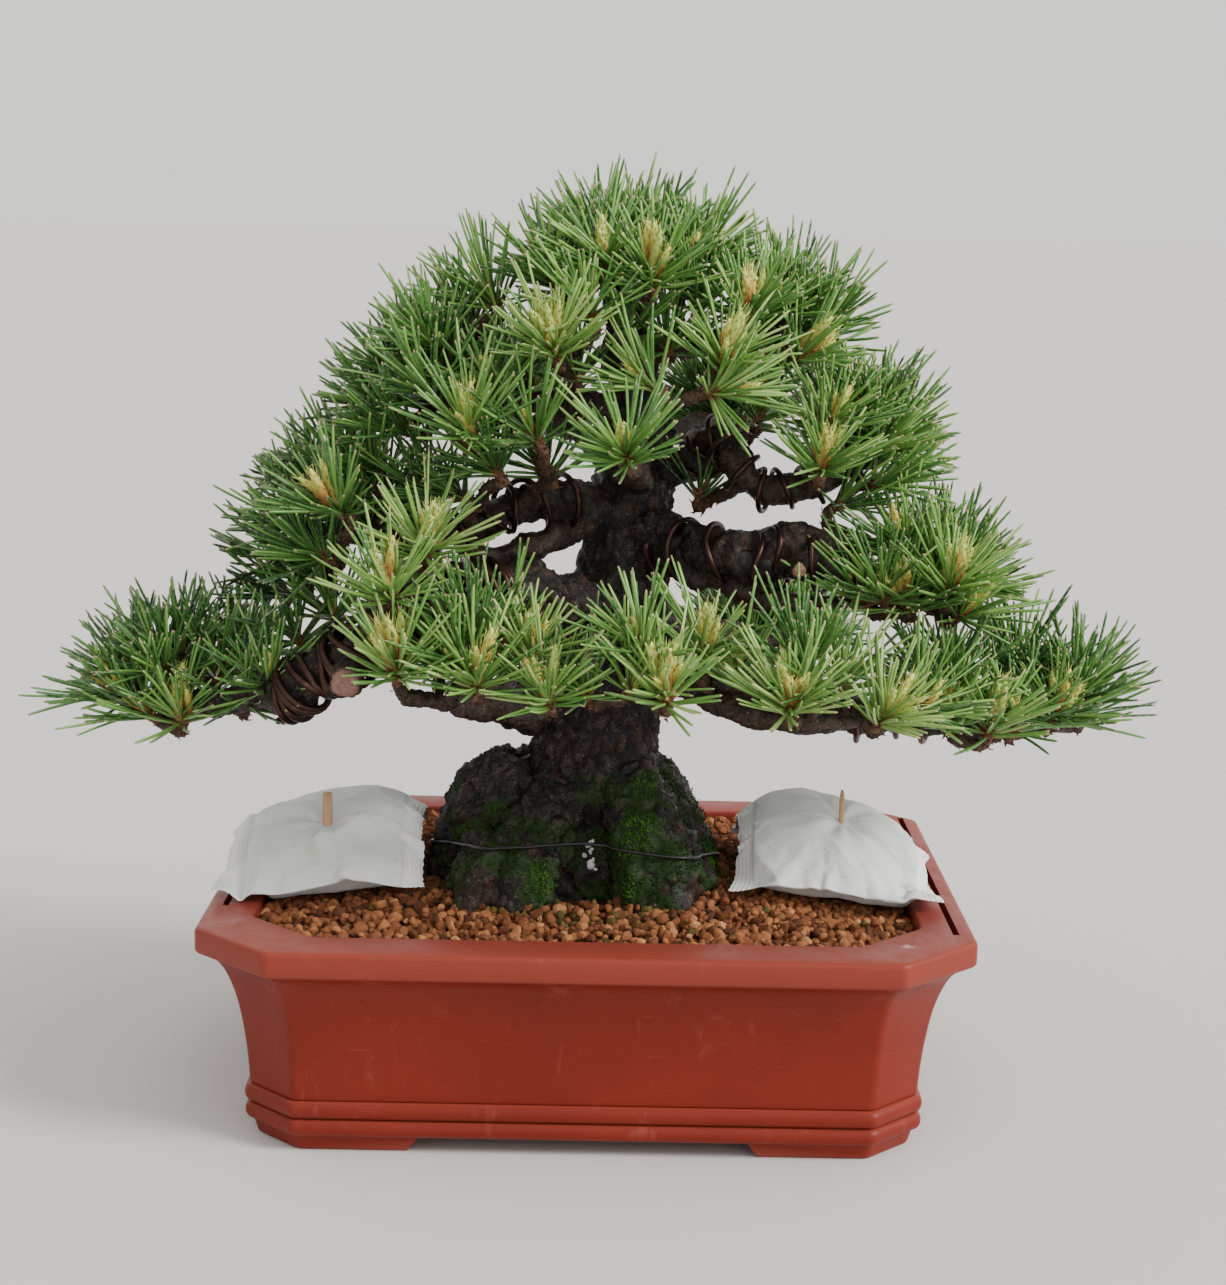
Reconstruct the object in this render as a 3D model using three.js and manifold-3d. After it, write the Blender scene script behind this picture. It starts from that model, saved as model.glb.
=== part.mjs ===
// Japanese black pine bonsai, wired, in a moulded training pot.
// Millimetres, +Z up. The tree is laid out about the middle of the pot, and the whole
// group is moved at the end so that the origin is the middle of its footprint on the floor.
import * as THREE from 'three';
import { mergeVertices } from 'three/addons/utils/BufferGeometryUtils.js';
import Module from 'manifold-3d';

const wasm = await Module();
wasm.setup();

// ---------- driving dimensions ----------
const POT_WIDTH = 310;
const POT_DEPTH = 260;
const POT_HEIGHT = 88;
const CORNER_CUT = 32;          // how far the cut corners run along each side of the rim
const OPENING_WIDTH = 268;      // soil opening in the rim
const OPENING_DEPTH = 212;
const OPENING_CUT = 27;
const UNDERSIDE = 7;            // underside of the pot between its feet
const FLOOR_TOP = 12;           // inside floor of the pot
const FLOOR_WIDTH = 258;
const FLOOR_DEPTH = 204;
const FOOT_GAP_FRONT = 140;     // open width between two feet at the floor, long sides
const FOOT_GAP_SIDE = 92;       // the same on the short sides
const FOOT_SLANT = 5.5;         // slope of a foot's inner end
const RIM_SLOT = { x: 147.5, back: 101, frontLeft: -66, frontRight: -89, width: 2.6, depth: 6 };
const DRAIN_HOLE_RADIUS = 11;
const DRAIN_HOLE_X = 62;
const MESH_SIZE = 36;
const MESH_THICKNESS = 1.2;
const CLIP_WIRE = 1.4;
const SOIL_EDGE = 84;           // soil height at the rim
const SOIL_MIDDLE = 91;         // soil height against the root base
const GAP = 0.4;                // space left between neighbouring pieces
const TRAINING_WIRE = 2.6;      // diameter of the brown training wire
const BASE_WIRE = 1.8;          // diameter of the black wire round the root base
const SACHET = { width: 84, length: 104, edge: 1.2, crown: 23 };

// ---------- colours ----------
const CLAY_RED = 0x8f3f30;
const BARK = 0x2a201c;
const SOIL_BROWN = 0x9b6340;
const NEEDLE_GREEN = 0x4f7f35;
const WIRE_BROWN = 0x2b1a15;
const WIRE_BLACK = 0x0c0c0d;
const SACHET_WHITE = 0xd3d6d3;
const STICK_TAN = 0xb98a5b;
const MESH_BLACK = 0x161719;

const bonsai = new THREE.Group();

function material(color, roughness, metalness = 0) {
  return new THREE.MeshStandardMaterial({ color, roughness, metalness });
}

function place(name, geometry, color, roughness, metalness = 0) {
  const mesh = new THREE.Mesh(geometry, material(color, roughness, metalness));
  mesh.name = name;
  bonsai.add(mesh);
}

// ---------- solids and booleans ----------
function toSolid(geometry) {
  const bare = geometry.clone();
  bare.deleteAttribute('normal');
  bare.deleteAttribute('uv');
  const merged = mergeVertices(bare, 1e-4);
  return new wasm.Manifold(new wasm.Mesh({
    numProp: 3,
    vertProperties: Float32Array.from(merged.attributes.position.array),
    triVerts: Uint32Array.from(merged.index.array),
  }));
}

function toGeometry(solid) {
  const mesh = solid.getMesh();
  const geometry = new THREE.BufferGeometry();
  geometry.setAttribute('position', new THREE.BufferAttribute(mesh.vertProperties, 3));
  geometry.setIndex(new THREE.BufferAttribute(mesh.triVerts, 1));
  geometry.computeVertexNormals();
  return geometry;
}

// keeps the main body where a cut leaves loose crumbs beside it
function mainBody(solid) {
  const bodies = solid.decompose();
  return bodies.reduce((best, body) => (body.volume() > best.volume() ? body : best));
}

// closed skin over a stack of loops that all have the same number of points
function loftGeometry(loops) {
  const count = loops[0].length;
  const positions = loops.flat().flatMap((p) => [p.x, p.y, p.z]);
  const index = [];
  for (let level = 0; level < loops.length - 1; level += 1) {
    for (let i = 0; i < count; i += 1) {
      const a = level * count + i;
      const b = level * count + ((i + 1) % count);
      index.push(a, b, b + count);
      index.push(a, b + count, a + count);
    }
  }
  for (const end of [0, loops.length - 1]) {
    const middle = loops[end].reduce((sum, p) => sum.clone().add(p), new THREE.Vector3());
    middle.divideScalar(count);
    const hub = positions.length / 3;
    positions.push(middle.x, middle.y, middle.z);
    for (let i = 0; i < count; i += 1) {
      const a = end * count + i;
      const b = end * count + ((i + 1) % count);
      if (end === 0) {
        index.push(hub, b, a);
      } else {
        index.push(hub, a, b);
      }
    }
  }
  const geometry = new THREE.BufferGeometry();
  geometry.setAttribute('position', new THREE.Float32BufferAttribute(positions, 3));
  geometry.setIndex(index);
  geometry.computeVertexNormals();
  return geometry;
}

// rectangle with cut corners, each corner eased by a short facet
function cutCornerLoop(halfX, halfY, cut, z, ease = 2.2) {
  const corners = [];
  for (const [sx, sy] of [[1, -1], [1, 1], [-1, 1], [-1, -1]]) {
    const onFront = new THREE.Vector3(sx * (halfX - cut), sy * halfY, z);
    const onSide = new THREE.Vector3(sx * halfX, sy * (halfY - cut), z);
    if (sx * sy < 0) {
      corners.push(onFront, onSide);
    } else {
      corners.push(onSide, onFront);
    }
  }
  const loop = [];
  corners.forEach((corner, i) => {
    const before = corners[(i + corners.length - 1) % corners.length];
    const after = corners[(i + 1) % corners.length];
    loop.push(corner.clone().add(before.clone().sub(corner).setLength(ease)));
    loop.push(corner.clone().add(after.clone().sub(corner).setLength(ease)));
  });
  return loop;
}

// the pot's outline moved inwards by the same amount on all eight sides
function potLoop(inset, z) {
  const cut = CORNER_CUT - inset * (2 - Math.SQRT2);
  return cutCornerLoop(POT_WIDTH / 2 - inset, POT_DEPTH / 2 - inset, cut, z);
}

// ---------- pot ----------
// height and inset of the outer skin: foot band, two beads, hollow-curved wall, rim
const POT_PROFILE = [
  [0, 23.6], [6.2, 21.6], [7.4, 19.4], [9.2, 18.6], [11.6, 18.6], [13.2, 19.6], [14, 21.2],
  [14.8, 19.4], [16.6, 18.4], [19, 18.4], [20.8, 19.4], [21.8, 20.6], [30, 19.8], [45, 17.8],
  [56, 15.8], [64, 13.4], [70, 11], [73.5, 8.6], [75.6, 5.6], [77, 2.4], [78, 0.6], [79, 0],
  [86.8, 0], [POT_HEIGHT, 1],
];

function potGeometry() {
  let pot = toSolid(loftGeometry(POT_PROFILE.map(([z, inset]) => potLoop(inset, z))));
  const inside = loftGeometry([
    cutCornerLoop(FLOOR_WIDTH / 2, FLOOR_DEPTH / 2, OPENING_CUT - 6, FLOOR_TOP),
    cutCornerLoop(OPENING_WIDTH / 2, OPENING_DEPTH / 2 + 2, OPENING_CUT, 76),
    cutCornerLoop(OPENING_WIDTH / 2, OPENING_DEPTH / 2, OPENING_CUT, 82),
    cutCornerLoop(OPENING_WIDTH / 2, OPENING_DEPTH / 2, OPENING_CUT, POT_HEIGHT + 4),
  ]);
  pot = pot.subtract(toSolid(inside));
  // channels between the feet, wider at the floor than at the top
  for (const [across, along] of [[FOOT_GAP_FRONT, POT_DEPTH], [FOOT_GAP_SIDE, POT_WIDTH]]) {
    const halfTop = across / 2 - FOOT_SLANT;
    const shape = new THREE.Shape([
      new THREE.Vector2(-halfTop - FOOT_SLANT, -3),
      new THREE.Vector2(halfTop + FOOT_SLANT, -3),
      new THREE.Vector2(halfTop + FOOT_SLANT, 0),
      new THREE.Vector2(halfTop, UNDERSIDE),
      new THREE.Vector2(-halfTop, UNDERSIDE),
      new THREE.Vector2(-halfTop - FOOT_SLANT, 0),
    ]);
    const channel = new THREE.ExtrudeGeometry(shape, { depth: along + 20, bevelEnabled: false });
    channel.translate(0, 0, -along / 2 - 10);
    channel.rotateX(Math.PI / 2);
    if (along === POT_WIDTH) {
      channel.rotateZ(Math.PI / 2);
    }
    pot = pot.subtract(toSolid(channel));
  }
  for (const side of [-1, 1]) {
    const front = side < 0 ? RIM_SLOT.frontLeft : RIM_SLOT.frontRight;
    const slot = new THREE.BoxGeometry(RIM_SLOT.width, RIM_SLOT.back - front, RIM_SLOT.depth * 2);
    slot.translate(side * RIM_SLOT.x, (RIM_SLOT.back + front) / 2, POT_HEIGHT);
    pot = pot.subtract(toSolid(slot));
    const hole = new THREE.CylinderGeometry(DRAIN_HOLE_RADIUS, DRAIN_HOLE_RADIUS, 30, 16);
    hole.rotateX(Math.PI / 2);
    hole.translate(side * DRAIN_HOLE_X, 0, UNDERSIDE + 3);
    pot = pot.subtract(toSolid(hole));
  }
  return toGeometry(pot);
}

place('pot', potGeometry(), CLAY_RED, 0.5);

// plastic mesh over each drain hole, with its wire staple
for (const [side, label] of [[-1, 'left'], [1, 'right']]) {
  const x = side * DRAIN_HOLE_X;
  const meshBase = FLOOR_TOP + GAP;
  let sheet = toSolid(new THREE.BoxGeometry(MESH_SIZE, MESH_SIZE, MESH_THICKNESS)
    .translate(x, 0, meshBase + MESH_THICKNESS / 2));
  for (let column = -2; column <= 2; column += 1) {
    for (let row = -2; row <= 2; row += 1) {
      const window = new THREE.BoxGeometry(4.2, 4.2, 6);
      window.translate(x + column * 6, row * 6, meshBase);
      sheet = sheet.subtract(toSolid(window));
    }
  }
  const clipTop = meshBase + MESH_THICKNESS + GAP + CLIP_WIRE / 2;
  const clipBottom = UNDERSIDE - 2.2;
  const route = new THREE.CurvePath();
  const bends = [
    new THREE.Vector3(x - 6, 9, clipBottom),
    new THREE.Vector3(x - 6, 0, clipBottom),
    new THREE.Vector3(x - 6, 0, clipTop),
    new THREE.Vector3(x + 6, 0, clipTop),
    new THREE.Vector3(x + 6, 0, clipBottom),
    new THREE.Vector3(x + 6, -9, clipBottom),
  ];
  for (let i = 0; i < bends.length - 1; i += 1) {
    route.add(new THREE.LineCurve3(bends[i], bends[i + 1]));
  }
  // the staple passes between the strands, so the sheet is opened round its legs
  for (const leg of [-6, 6]) {
    const passage = new THREE.BoxGeometry(3.4, 3.4, 8);
    passage.translate(x + leg, 0, meshBase);
    sheet = sheet.subtract(toSolid(passage));
  }
  place(`drain_mesh_${label}`, toGeometry(sheet), MESH_BLACK, 0.7);
  const legs = bends.slice(0, -1).map((from, i) => {
    const to = bends[i + 1];
    const lengthen = to.clone().sub(from).setLength(CLIP_WIRE / 2);
    const low = from.clone().sub(lengthen).min(to.clone().add(lengthen));
    const high = from.clone().sub(lengthen).max(to.clone().add(lengthen));
    const size = high.clone().sub(low).max(new THREE.Vector3(CLIP_WIRE, CLIP_WIRE, CLIP_WIRE));
    const middle = high.clone().add(low).divideScalar(2);
    return toSolid(new THREE.BoxGeometry(size.x, size.y, size.z)
      .translate(middle.x, middle.y, middle.z));
  });
  const clip = legs.reduce((whole, leg) => whole.add(leg));
  place(`mesh_clip_${label}`, toGeometry(clip), 0x8a8d90, 0.35, 0.9);
}

// ---------- tree ----------
const V = (x, y, z) => new THREE.Vector3(x, y, z);

// round limb along a smooth path whose thickness changes from end to end
function limbGeometry(points, radii, sides, steps, extra = 0) {
  const path = new THREE.CatmullRomCurve3(points, false, 'centripetal');
  const frames = path.computeFrenetFrames(steps, false);
  const loops = [];
  for (let i = 0; i <= steps; i += 1) {
    const t = i / steps;
    const centre = path.getPointAt(t);
    const radius = radiusAt(radii, t) + extra;
    const loop = [];
    for (let k = 0; k < sides; k += 1) {
      const angle = (2 * Math.PI * k) / sides;
      const side = frames.normals[i].clone().multiplyScalar(radius * Math.cos(angle));
      const up = frames.binormals[i].clone().multiplyScalar(radius * Math.sin(angle));
      loop.push(centre.clone().add(side).add(up));
    }
    loops.push(loop);
  }
  return loftGeometry(loops);
}

function radiusAt(radii, t) {
  const place01 = t * (radii.length - 1);
  const low = Math.min(Math.floor(place01), radii.length - 2);
  return THREE.MathUtils.lerp(radii[low], radii[low + 1], place01 - low);
}

// root base: buttressed flare that spreads under the soil
const ROOT_LEVELS = [
  [58, 46], [72, 60], [88, 64], [102, 63], [113, 57], [121, 49], [129, 40], [137, 34.5], [146, 32],
];

function rootBaseGeometry(extra = 0) {
  const sides = 28;
  const loops = ROOT_LEVELS.map(([z, radius], level) => {
    const spread = 1 - level / (ROOT_LEVELS.length - 1);
    const loop = [];
    for (let k = 0; k < sides; k += 1) {
      const angle = (2 * Math.PI * k) / sides;
      const lobes = 0.06 * Math.cos(7 * angle + 0.6) + 0.035 * Math.cos(3 * angle - 0.9);
      const reach = radius * (1 + lobes * spread) + extra;
      loop.push(V(reach * Math.cos(angle) - 5 * spread, -5 + reach * Math.sin(angle), z));
    }
    return loop;
  });
  return loftGeometry(loops);
}

const TRUNK = {
  points: [V(1, -5, 132), V(2, -6, 152), V(7, -3, 178), V(12, 0, 206), V(14, 2, 235),
    V(17, 4, 262), V(17, 5, 288), V(12, 6, 314), V(7, 5, 342), V(6, 4, 364)],
  radii: [35, 31, 27, 21, 18, 15, 12, 9, 5.5, 3],
};

// each limb starts inside the wood that it grows from
const LIMBS = {
  low_left: {
    points: [V(12, -2, 204), V(-12, -33, 213), V(-40, -56, 217), V(-70, -72, 209),
      V(-98, -80, 190), V(-138, -66, 174), V(-182, -48, 167)],
    radii: [13, 12, 11, 10, 8.5, 6, 3.5],
    wire: [0.3, 0.74, 10],
  },
  mid_left: {
    points: [V(14, 2, 243), V(-20, -18, 250), V(-49, -31, 241), V(-80, -38, 236),
      V(-112, -36, 238)],
    radii: [10, 8.5, 7, 5.5, 3],
    wire: [0.24, 0.72, 6],
  },
  mid_right: {
    points: [V(14, 2, 238), V(42, -25, 232), V(72, -40, 231), V(106, -46, 226),
      V(140, -40, 222)],
    radii: [11, 10, 9.5, 7.5, 3],
    wire: [0.24, 0.74, 7],
  },
  high_right: {
    points: [V(17, 4, 262), V(40, -4, 266), V(53, -20, 279), V(60, -30, 266), V(71, -31, 257),
      V(92, -28, 262), V(118, -18, 274)],
    radii: [9, 7.5, 6.5, 6, 5.5, 4.5, 3],
    wire: [0.26, 0.78, 7],
  },
  high_left: {
    points: [V(17, 5, 282), V(-12, -8, 290), V(-42, -18, 294), V(-74, -22, 300)],
    radii: [8, 6.5, 5, 3],
  },
  top_right: {
    points: [V(13, 6, 310), V(40, 0, 316), V(64, -8, 320), V(84, -12, 326)],
    radii: [6.5, 5, 4, 2.5],
  },
  front_middle: {
    points: [V(17, 4, 258), V(16, -30, 264), V(14, -66, 270), V(13, -96, 273)],
    radii: [8, 6, 4.5, 3],
  },
  front_low_left: {
    points: [V(2, -6, 172), V(-36, -28, 171), V(-55, -62, 177), V(-58, -98, 181)],
    radii: [11, 8, 6, 3.5],
  },
  front_low_right: {
    points: [V(10, -3, 190), V(30, -46, 183), V(56, -84, 177), V(84, -98, 174)],
    radii: [11, 8, 6, 4],
  },
  front_low_middle: {
    points: [V(31, -50, 184), V(24, -78, 186), V(20, -106, 188)],
    radii: [5, 4.5, 3],
  },
  low_right: {
    points: [V(11, -1, 194), V(58, -28, 180), V(104, -42, 168), V(150, -40, 164),
      V(204, -28, 162)],
    radii: [12, 9, 7.5, 6, 3.5],
    wire: [0.2, 0.62, 8],
  },
  back_low_left: {
    points: [V(8, -2, 182), V(-22, 42, 178), V(-66, 80, 175)],
    radii: [11, 8, 4],
  },
  back_low_right: {
    points: [V(13, 1, 206), V(44, 48, 188), V(84, 84, 176)],
    radii: [10, 7, 4],
  },
  back_high_left: {
    points: [V(17, 5, 266), V(-4, 38, 272), V(-42, 68, 278)],
    radii: [8, 6, 3],
  },
  back_high_right: {
    points: [V(17, 5, 272), V(36, 38, 276), V(60, 66, 282)],
    radii: [7.5, 6, 3],
  },
};

const SAWN_STUB = { points: [V(-91, -77, 197), V(-94, -90, 191), V(-95, -100, 188)], radii: [6, 5.6, 5.4] };
const PRUNED_STUB = { points: [V(80, -40, 230), V(82, -50, 229), V(83, -58, 229)], radii: [5, 4.4, 4] };

// the wood with all its limbs, swollen by extra where it is used to clear other pieces
function woodSolid(extra, wiredExtra) {
  let wood = toSolid(rootBaseGeometry(extra));
  wood = wood.add(toSolid(limbGeometry(TRUNK.points, TRUNK.radii, 12, 16, extra)));
  const hump = new THREE.IcosahedronGeometry(1, 2);
  hump.scale(23 + extra, 25 + extra, 27 + extra);
  hump.translate(-41, -15, 116);
  wood = wood.add(toSolid(hump));
  for (const limb of Object.values(LIMBS)) {
    const swell = limb.wire ? wiredExtra : extra;
    const steps = Math.round(limb.points.length * 1.7);
    wood = wood.add(toSolid(limbGeometry(limb.points, limb.radii, 6, steps, swell)));
  }
  for (const stub of [SAWN_STUB, PRUNED_STUB]) {
    wood = wood.add(toSolid(limbGeometry(stub.points, stub.radii, 8, 3, extra)));
  }
  return wood;
}

const wood = woodSolid(0, 0);
const woodSkin = woodSolid(GAP, GAP);
const woodClearance = woodSolid(GAP + 0.3, 2 * TRAINING_WIRE + 1);
place('trunk', toGeometry(wood), BARK, 0.9);

// ---------- training wires ----------
// coil that winds along a limb, just clear of its bark
class LimbCoil extends THREE.Curve {
  constructor(limb, from, to, turns, wireRadius) {
    super();
    this.path = new THREE.CatmullRomCurve3(limb.points, false, 'centripetal');
    this.radii = limb.radii;
    this.from = from;
    this.to = to;
    this.turns = turns;
    this.wireRadius = wireRadius;
    this.framesCount = 200;
    this.frames = this.path.computeFrenetFrames(this.framesCount, false);
  }

  getPoint(t, target = new THREE.Vector3()) {
    const along = THREE.MathUtils.lerp(this.from, this.to, t);
    const frame = Math.round(along * this.framesCount);
    const angle = 2 * Math.PI * this.turns * t;
    const reach = radiusAt(this.radii, along) + this.wireRadius + GAP;
    return target.copy(this.path.getPointAt(along))
      .addScaledVector(this.frames.normals[frame], reach * Math.cos(angle))
      .addScaledVector(this.frames.binormals[frame], reach * Math.sin(angle));
  }
}

function wireSection(radius, sides) {
  const section = new THREE.Shape();
  for (let k = 0; k < sides; k += 1) {
    const angle = (2 * Math.PI * k) / sides;
    const corner = [radius * Math.cos(angle), radius * Math.sin(angle)];
    if (k === 0) {
      section.moveTo(...corner);
    } else {
      section.lineTo(...corner);
    }
  }
  section.closePath();
  return section;
}

for (const [name, limb] of Object.entries(LIMBS)) {
  if (limb.wire) {
    const [from, to, turns] = limb.wire;
    const coil = new LimbCoil(limb, from, to, turns, TRAINING_WIRE / 2);
    const wire = new THREE.ExtrudeGeometry(wireSection(TRAINING_WIRE / 2, 4), {
      steps: Math.round(turns * 8),
      extrudePath: coil,
      bevelEnabled: false,
    });
    const clear = toSolid(wire).subtract(woodSkin);
    place(`training_wire_${name}`, toGeometry(mainBody(clear)), WIRE_BROWN, 0.4, 0.6);
  }
}

// ---------- soil ----------
// height of the soil's top, mounded towards the root base
function soilTop(x, y) {
  const edge = Math.max(Math.abs(x) / (OPENING_WIDTH / 2), Math.abs(y) / (OPENING_DEPTH / 2));
  const rise = THREE.MathUtils.smoothstep(1 - edge, 0, 0.6);
  return THREE.MathUtils.lerp(SOIL_EDGE, SOIL_MIDDLE, rise);
}

const STICKS = {
  left: { x: -110, y: -30, bottom: 62, top: 127, size: 3.8 },
  right: { x: 107, y: -20, bottom: 58, top: 130, size: 2.2 },
};

function stickGeometry(stick, extra = 0) {
  const height = stick.top - stick.bottom + 2 * extra;
  const middle = (stick.top + stick.bottom) / 2;
  const width = stick.size + 2 * extra;
  if (stick === STICKS.left) {
    return new THREE.BoxGeometry(width, width, height).translate(stick.x, stick.y, middle);
  }
  return new THREE.CylinderGeometry(width / 2, width / 2, height, 8)
    .rotateX(Math.PI / 2)
    .translate(stick.x, stick.y, middle);
}

function soilGeometry() {
  const inner = (share, z) => cutCornerLoop(
    (OPENING_WIDTH / 2 - GAP) * share,
    (OPENING_DEPTH / 2 - GAP) * share,
    OPENING_CUT * share,
    z,
  );
  const base = FLOOR_TOP + GAP + MESH_THICKNESS + GAP + CLIP_WIRE + GAP;
  const loops = [
    cutCornerLoop(FLOOR_WIDTH / 2 - 1, FLOOR_DEPTH / 2 - 1, OPENING_CUT - 7, base),
    inner(1, 78),
    inner(1, SOIL_EDGE - 1),
  ];
  for (const share of [0.985, 0.9, 0.75, 0.5, 0.25]) {
    const ring = inner(share, 0);
    ring.forEach((p) => { p.z = soilTop(p.x, p.y); });
    loops.push(ring);
  }
  let soil = toSolid(loftGeometry(loops)).subtract(woodClearance);
  for (const stick of Object.values(STICKS)) {
    soil = soil.subtract(toSolid(stickGeometry(stick, GAP)));
  }
  return toGeometry(mainBody(soil));
}

place('soil', soilGeometry(), SOIL_BROWN, 0.95);

// ---------- black wire round the root base ----------
function baseWireGeometry() {
  const points = [];
  for (let k = 0; k < 32; k += 1) {
    const angle = (2 * Math.PI * k) / 32;
    const out = V(Math.cos(angle), Math.sin(angle), 0);
    const z = Math.max(99 - 15 * Math.sin(angle) - 2 * Math.cos(angle), 93);
    const ray = new THREE.Raycaster(V(0, -5, z).addScaledVector(out, 120), out.clone().negate());
    const hit = ray.intersectObject(woodMesh, false)[0];
    points.push(hit.point.clone().addScaledVector(out, BASE_WIRE / 2 + 1.4).setZ(z));
  }
  const loop = new THREE.CatmullRomCurve3(points, true, 'centripetal');
  const rings = [];
  const steps = 56;
  for (let i = 0; i < steps; i += 1) {
    const centre = loop.getPoint(i / steps);
    const tangent = loop.getTangent(i / steps);
    const side = tangent.clone().cross(V(0, 0, 1)).normalize();
    const up = side.clone().cross(tangent).normalize();
    for (let k = 0; k < 4; k += 1) {
      const angle = (2 * Math.PI * k) / 4;
      rings.push(centre.clone()
        .addScaledVector(side, (BASE_WIRE / 2) * Math.cos(angle))
        .addScaledVector(up, (BASE_WIRE / 2) * Math.sin(angle)));
    }
  }
  const index = [];
  for (let i = 0; i < steps; i += 1) {
    for (let k = 0; k < 4; k += 1) {
      const a = i * 4 + k;
      const b = i * 4 + ((k + 1) % 4);
      const c = ((i + 1) % steps) * 4 + ((k + 1) % 4);
      const d = ((i + 1) % steps) * 4 + k;
      index.push(a, c, b, a, d, c);
    }
  }
  const geometry = new THREE.BufferGeometry().setFromPoints(rings);
  geometry.setIndex(index);
  return toGeometry(mainBody(toSolid(geometry).subtract(woodSkin)));
}

const woodMesh = new THREE.Mesh(
  toGeometry(wood),
  new THREE.MeshStandardMaterial({ side: THREE.DoubleSide }),
);
place('root_base_wire', baseWireGeometry(), WIRE_BLACK, 0.3);

// ---------- fertiliser sachets ----------
// cloth bag lying half on the soil and half on the rim, thin at its edges
function sachetGeometry(centreX, centreY, turn) {
  const columns = 8;
  const rows = 10;
  const across = (i) => (i / columns - 0.5) * SACHET.width;
  const down = (j) => (j / rows - 0.5) * SACHET.length;
  const layers = [0, 1].map((layer) => {
    const points = [];
    for (let j = 0; j <= rows; j += 1) {
      for (let i = 0; i <= columns; i += 1) {
        const u = i / columns;
        const v = j / rows;
        const x = centreX + across(i) * Math.cos(turn) - down(j) * Math.sin(turn);
        const y = centreY + across(i) * Math.sin(turn) + down(j) * Math.cos(turn);
        const overRim = Math.abs(x) > OPENING_WIDTH / 2 - 14;
        const lying = Math.max(soilTop(x, y), overRim ? POT_HEIGHT : 0) + GAP + 0.6;
        const swell = Math.pow(Math.sin(Math.PI * u) * Math.sin(Math.PI * v), 0.6);
        points.push(V(x, y, lying + layer * (SACHET.edge + SACHET.crown * swell)));
      }
    }
    return points;
  });
  const positions = layers.flat().flatMap((p) => [p.x, p.y, p.z]);
  const stride = columns + 1;
  const upper = stride * (rows + 1);
  const index = [];
  for (let j = 0; j < rows; j += 1) {
    for (let i = 0; i < columns; i += 1) {
      const a = j * stride + i;
      index.push(a, a + stride + 1, a + 1, a, a + stride, a + stride + 1);
      index.push(a + upper, a + upper + 1, a + upper + stride + 1);
      index.push(a + upper, a + upper + stride + 1, a + upper + stride);
    }
  }
  const border = [];
  for (let i = 0; i < columns; i += 1) border.push(i);
  for (let j = 0; j < rows; j += 1) border.push(j * stride + columns);
  for (let i = columns; i > 0; i -= 1) border.push(rows * stride + i);
  for (let j = rows; j > 0; j -= 1) border.push(j * stride);
  border.forEach((a, k) => {
    const b = border[(k + 1) % border.length];
    index.push(a, b, b + upper, a, b + upper, a + upper);
  });
  const geometry = new THREE.BufferGeometry();
  geometry.setAttribute('position', new THREE.Float32BufferAttribute(positions, 3));
  geometry.setIndex(index);
  geometry.computeVertexNormals();
  return geometry;
}

for (const [label, x, y, turn] of [['left', -110.5, -14, 0.03], ['right', 106, -12, -0.03]]) {
  const bag = toSolid(sachetGeometry(x, y, turn))
    .subtract(toSolid(stickGeometry(STICKS[label], GAP)))
    .subtract(woodClearance);
  place(`sachet_${label}`, toGeometry(mainBody(bag)), SACHET_WHITE, 0.85);
  place(`sachet_stick_${label}`, stickGeometry(STICKS[label]), STICK_TAN, 0.7);
}

// ---------- foliage ----------
// centre and half sizes of each pad of shoots and needles
const PADS = {
  top: [8, 2, 353, 58, 54, 36],
  high_left: [-67, -20, 303, 52, 48, 42],
  top_right: [79, -12, 331, 38, 44, 37],
  high_right: [115, -16, 284, 48, 46, 35],
  mid_left: [-100, -36, 248, 59, 50, 39],
  mid_right: [144, -38, 225, 41, 42, 27],
  low_left: [-167, -48, 185, 59, 46, 30],
  low_right: [202, -28, 180, 42, 44, 37],
  low_right_inner: [148, -54, 183, 40, 40, 27],
  front_low_left: [-46, -102, 206, 42, 40, 30],
  front_low_middle: [23, -112, 207, 34, 38, 29],
  front_low_right: [83, -98, 199, 41, 40, 31],
  front_middle: [16, -90, 287, 40, 36, 31],
  front_high_left: [-46, -66, 284, 33, 32, 28],
  back_low_left: [-72, 84, 182, 60, 50, 26],
  back_low_right: [86, 86, 182, 60, 50, 26],
  back_high_left: [-44, 68, 288, 52, 44, 32],
  back_high_right: [62, 64, 288, 52, 44, 32],
};

// lumpy cushion shape; the lumps come from a few waves over its surface
function padGeometry([x, y, z, rx, ry, rz], extra = 0) {
  const pad = new THREE.IcosahedronGeometry(1, 2);
  const spots = pad.attributes.position;
  for (let i = 0; i < spots.count; i += 1) {
    const p = new THREE.Vector3().fromBufferAttribute(spots, i);
    const wave = Math.sin(5 * p.x + 0.11 * x) * Math.sin(5 * p.y + 0.13 * y)
      + 0.6 * Math.sin(7 * p.z + 4 * p.x + 0.07 * z);
    const lump = 1 + 0.06 * wave;
    spots.setXYZ(i, p.x * (rx * lump + extra), p.y * (ry * lump + extra), p.z * (rz * lump + extra));
  }
  pad.translate(x, y, z);
  return pad;
}

let taken = woodClearance;
for (const [name, pad] of Object.entries(PADS)) {
  const own = toSolid(padGeometry(pad)).subtract(taken);
  place(`foliage_${name}`, toGeometry(mainBody(own)), NEEDLE_GREEN, 0.8);
  taken = taken.add(toSolid(padGeometry(pad, 0.8)));
}

// ---------- origin: middle of the footprint, on the floor ----------
const bounds = new THREE.Box3().setFromObject(bonsai);
const middle = bounds.getCenter(new THREE.Vector3());
bonsai.position.set(-middle.x, -middle.y, -bounds.min.z);
bonsai.updateMatrixWorld(true);

export default bonsai;
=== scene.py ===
import math
import bpy
import numpy as np
from mathutils import Matrix, Vector


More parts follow.
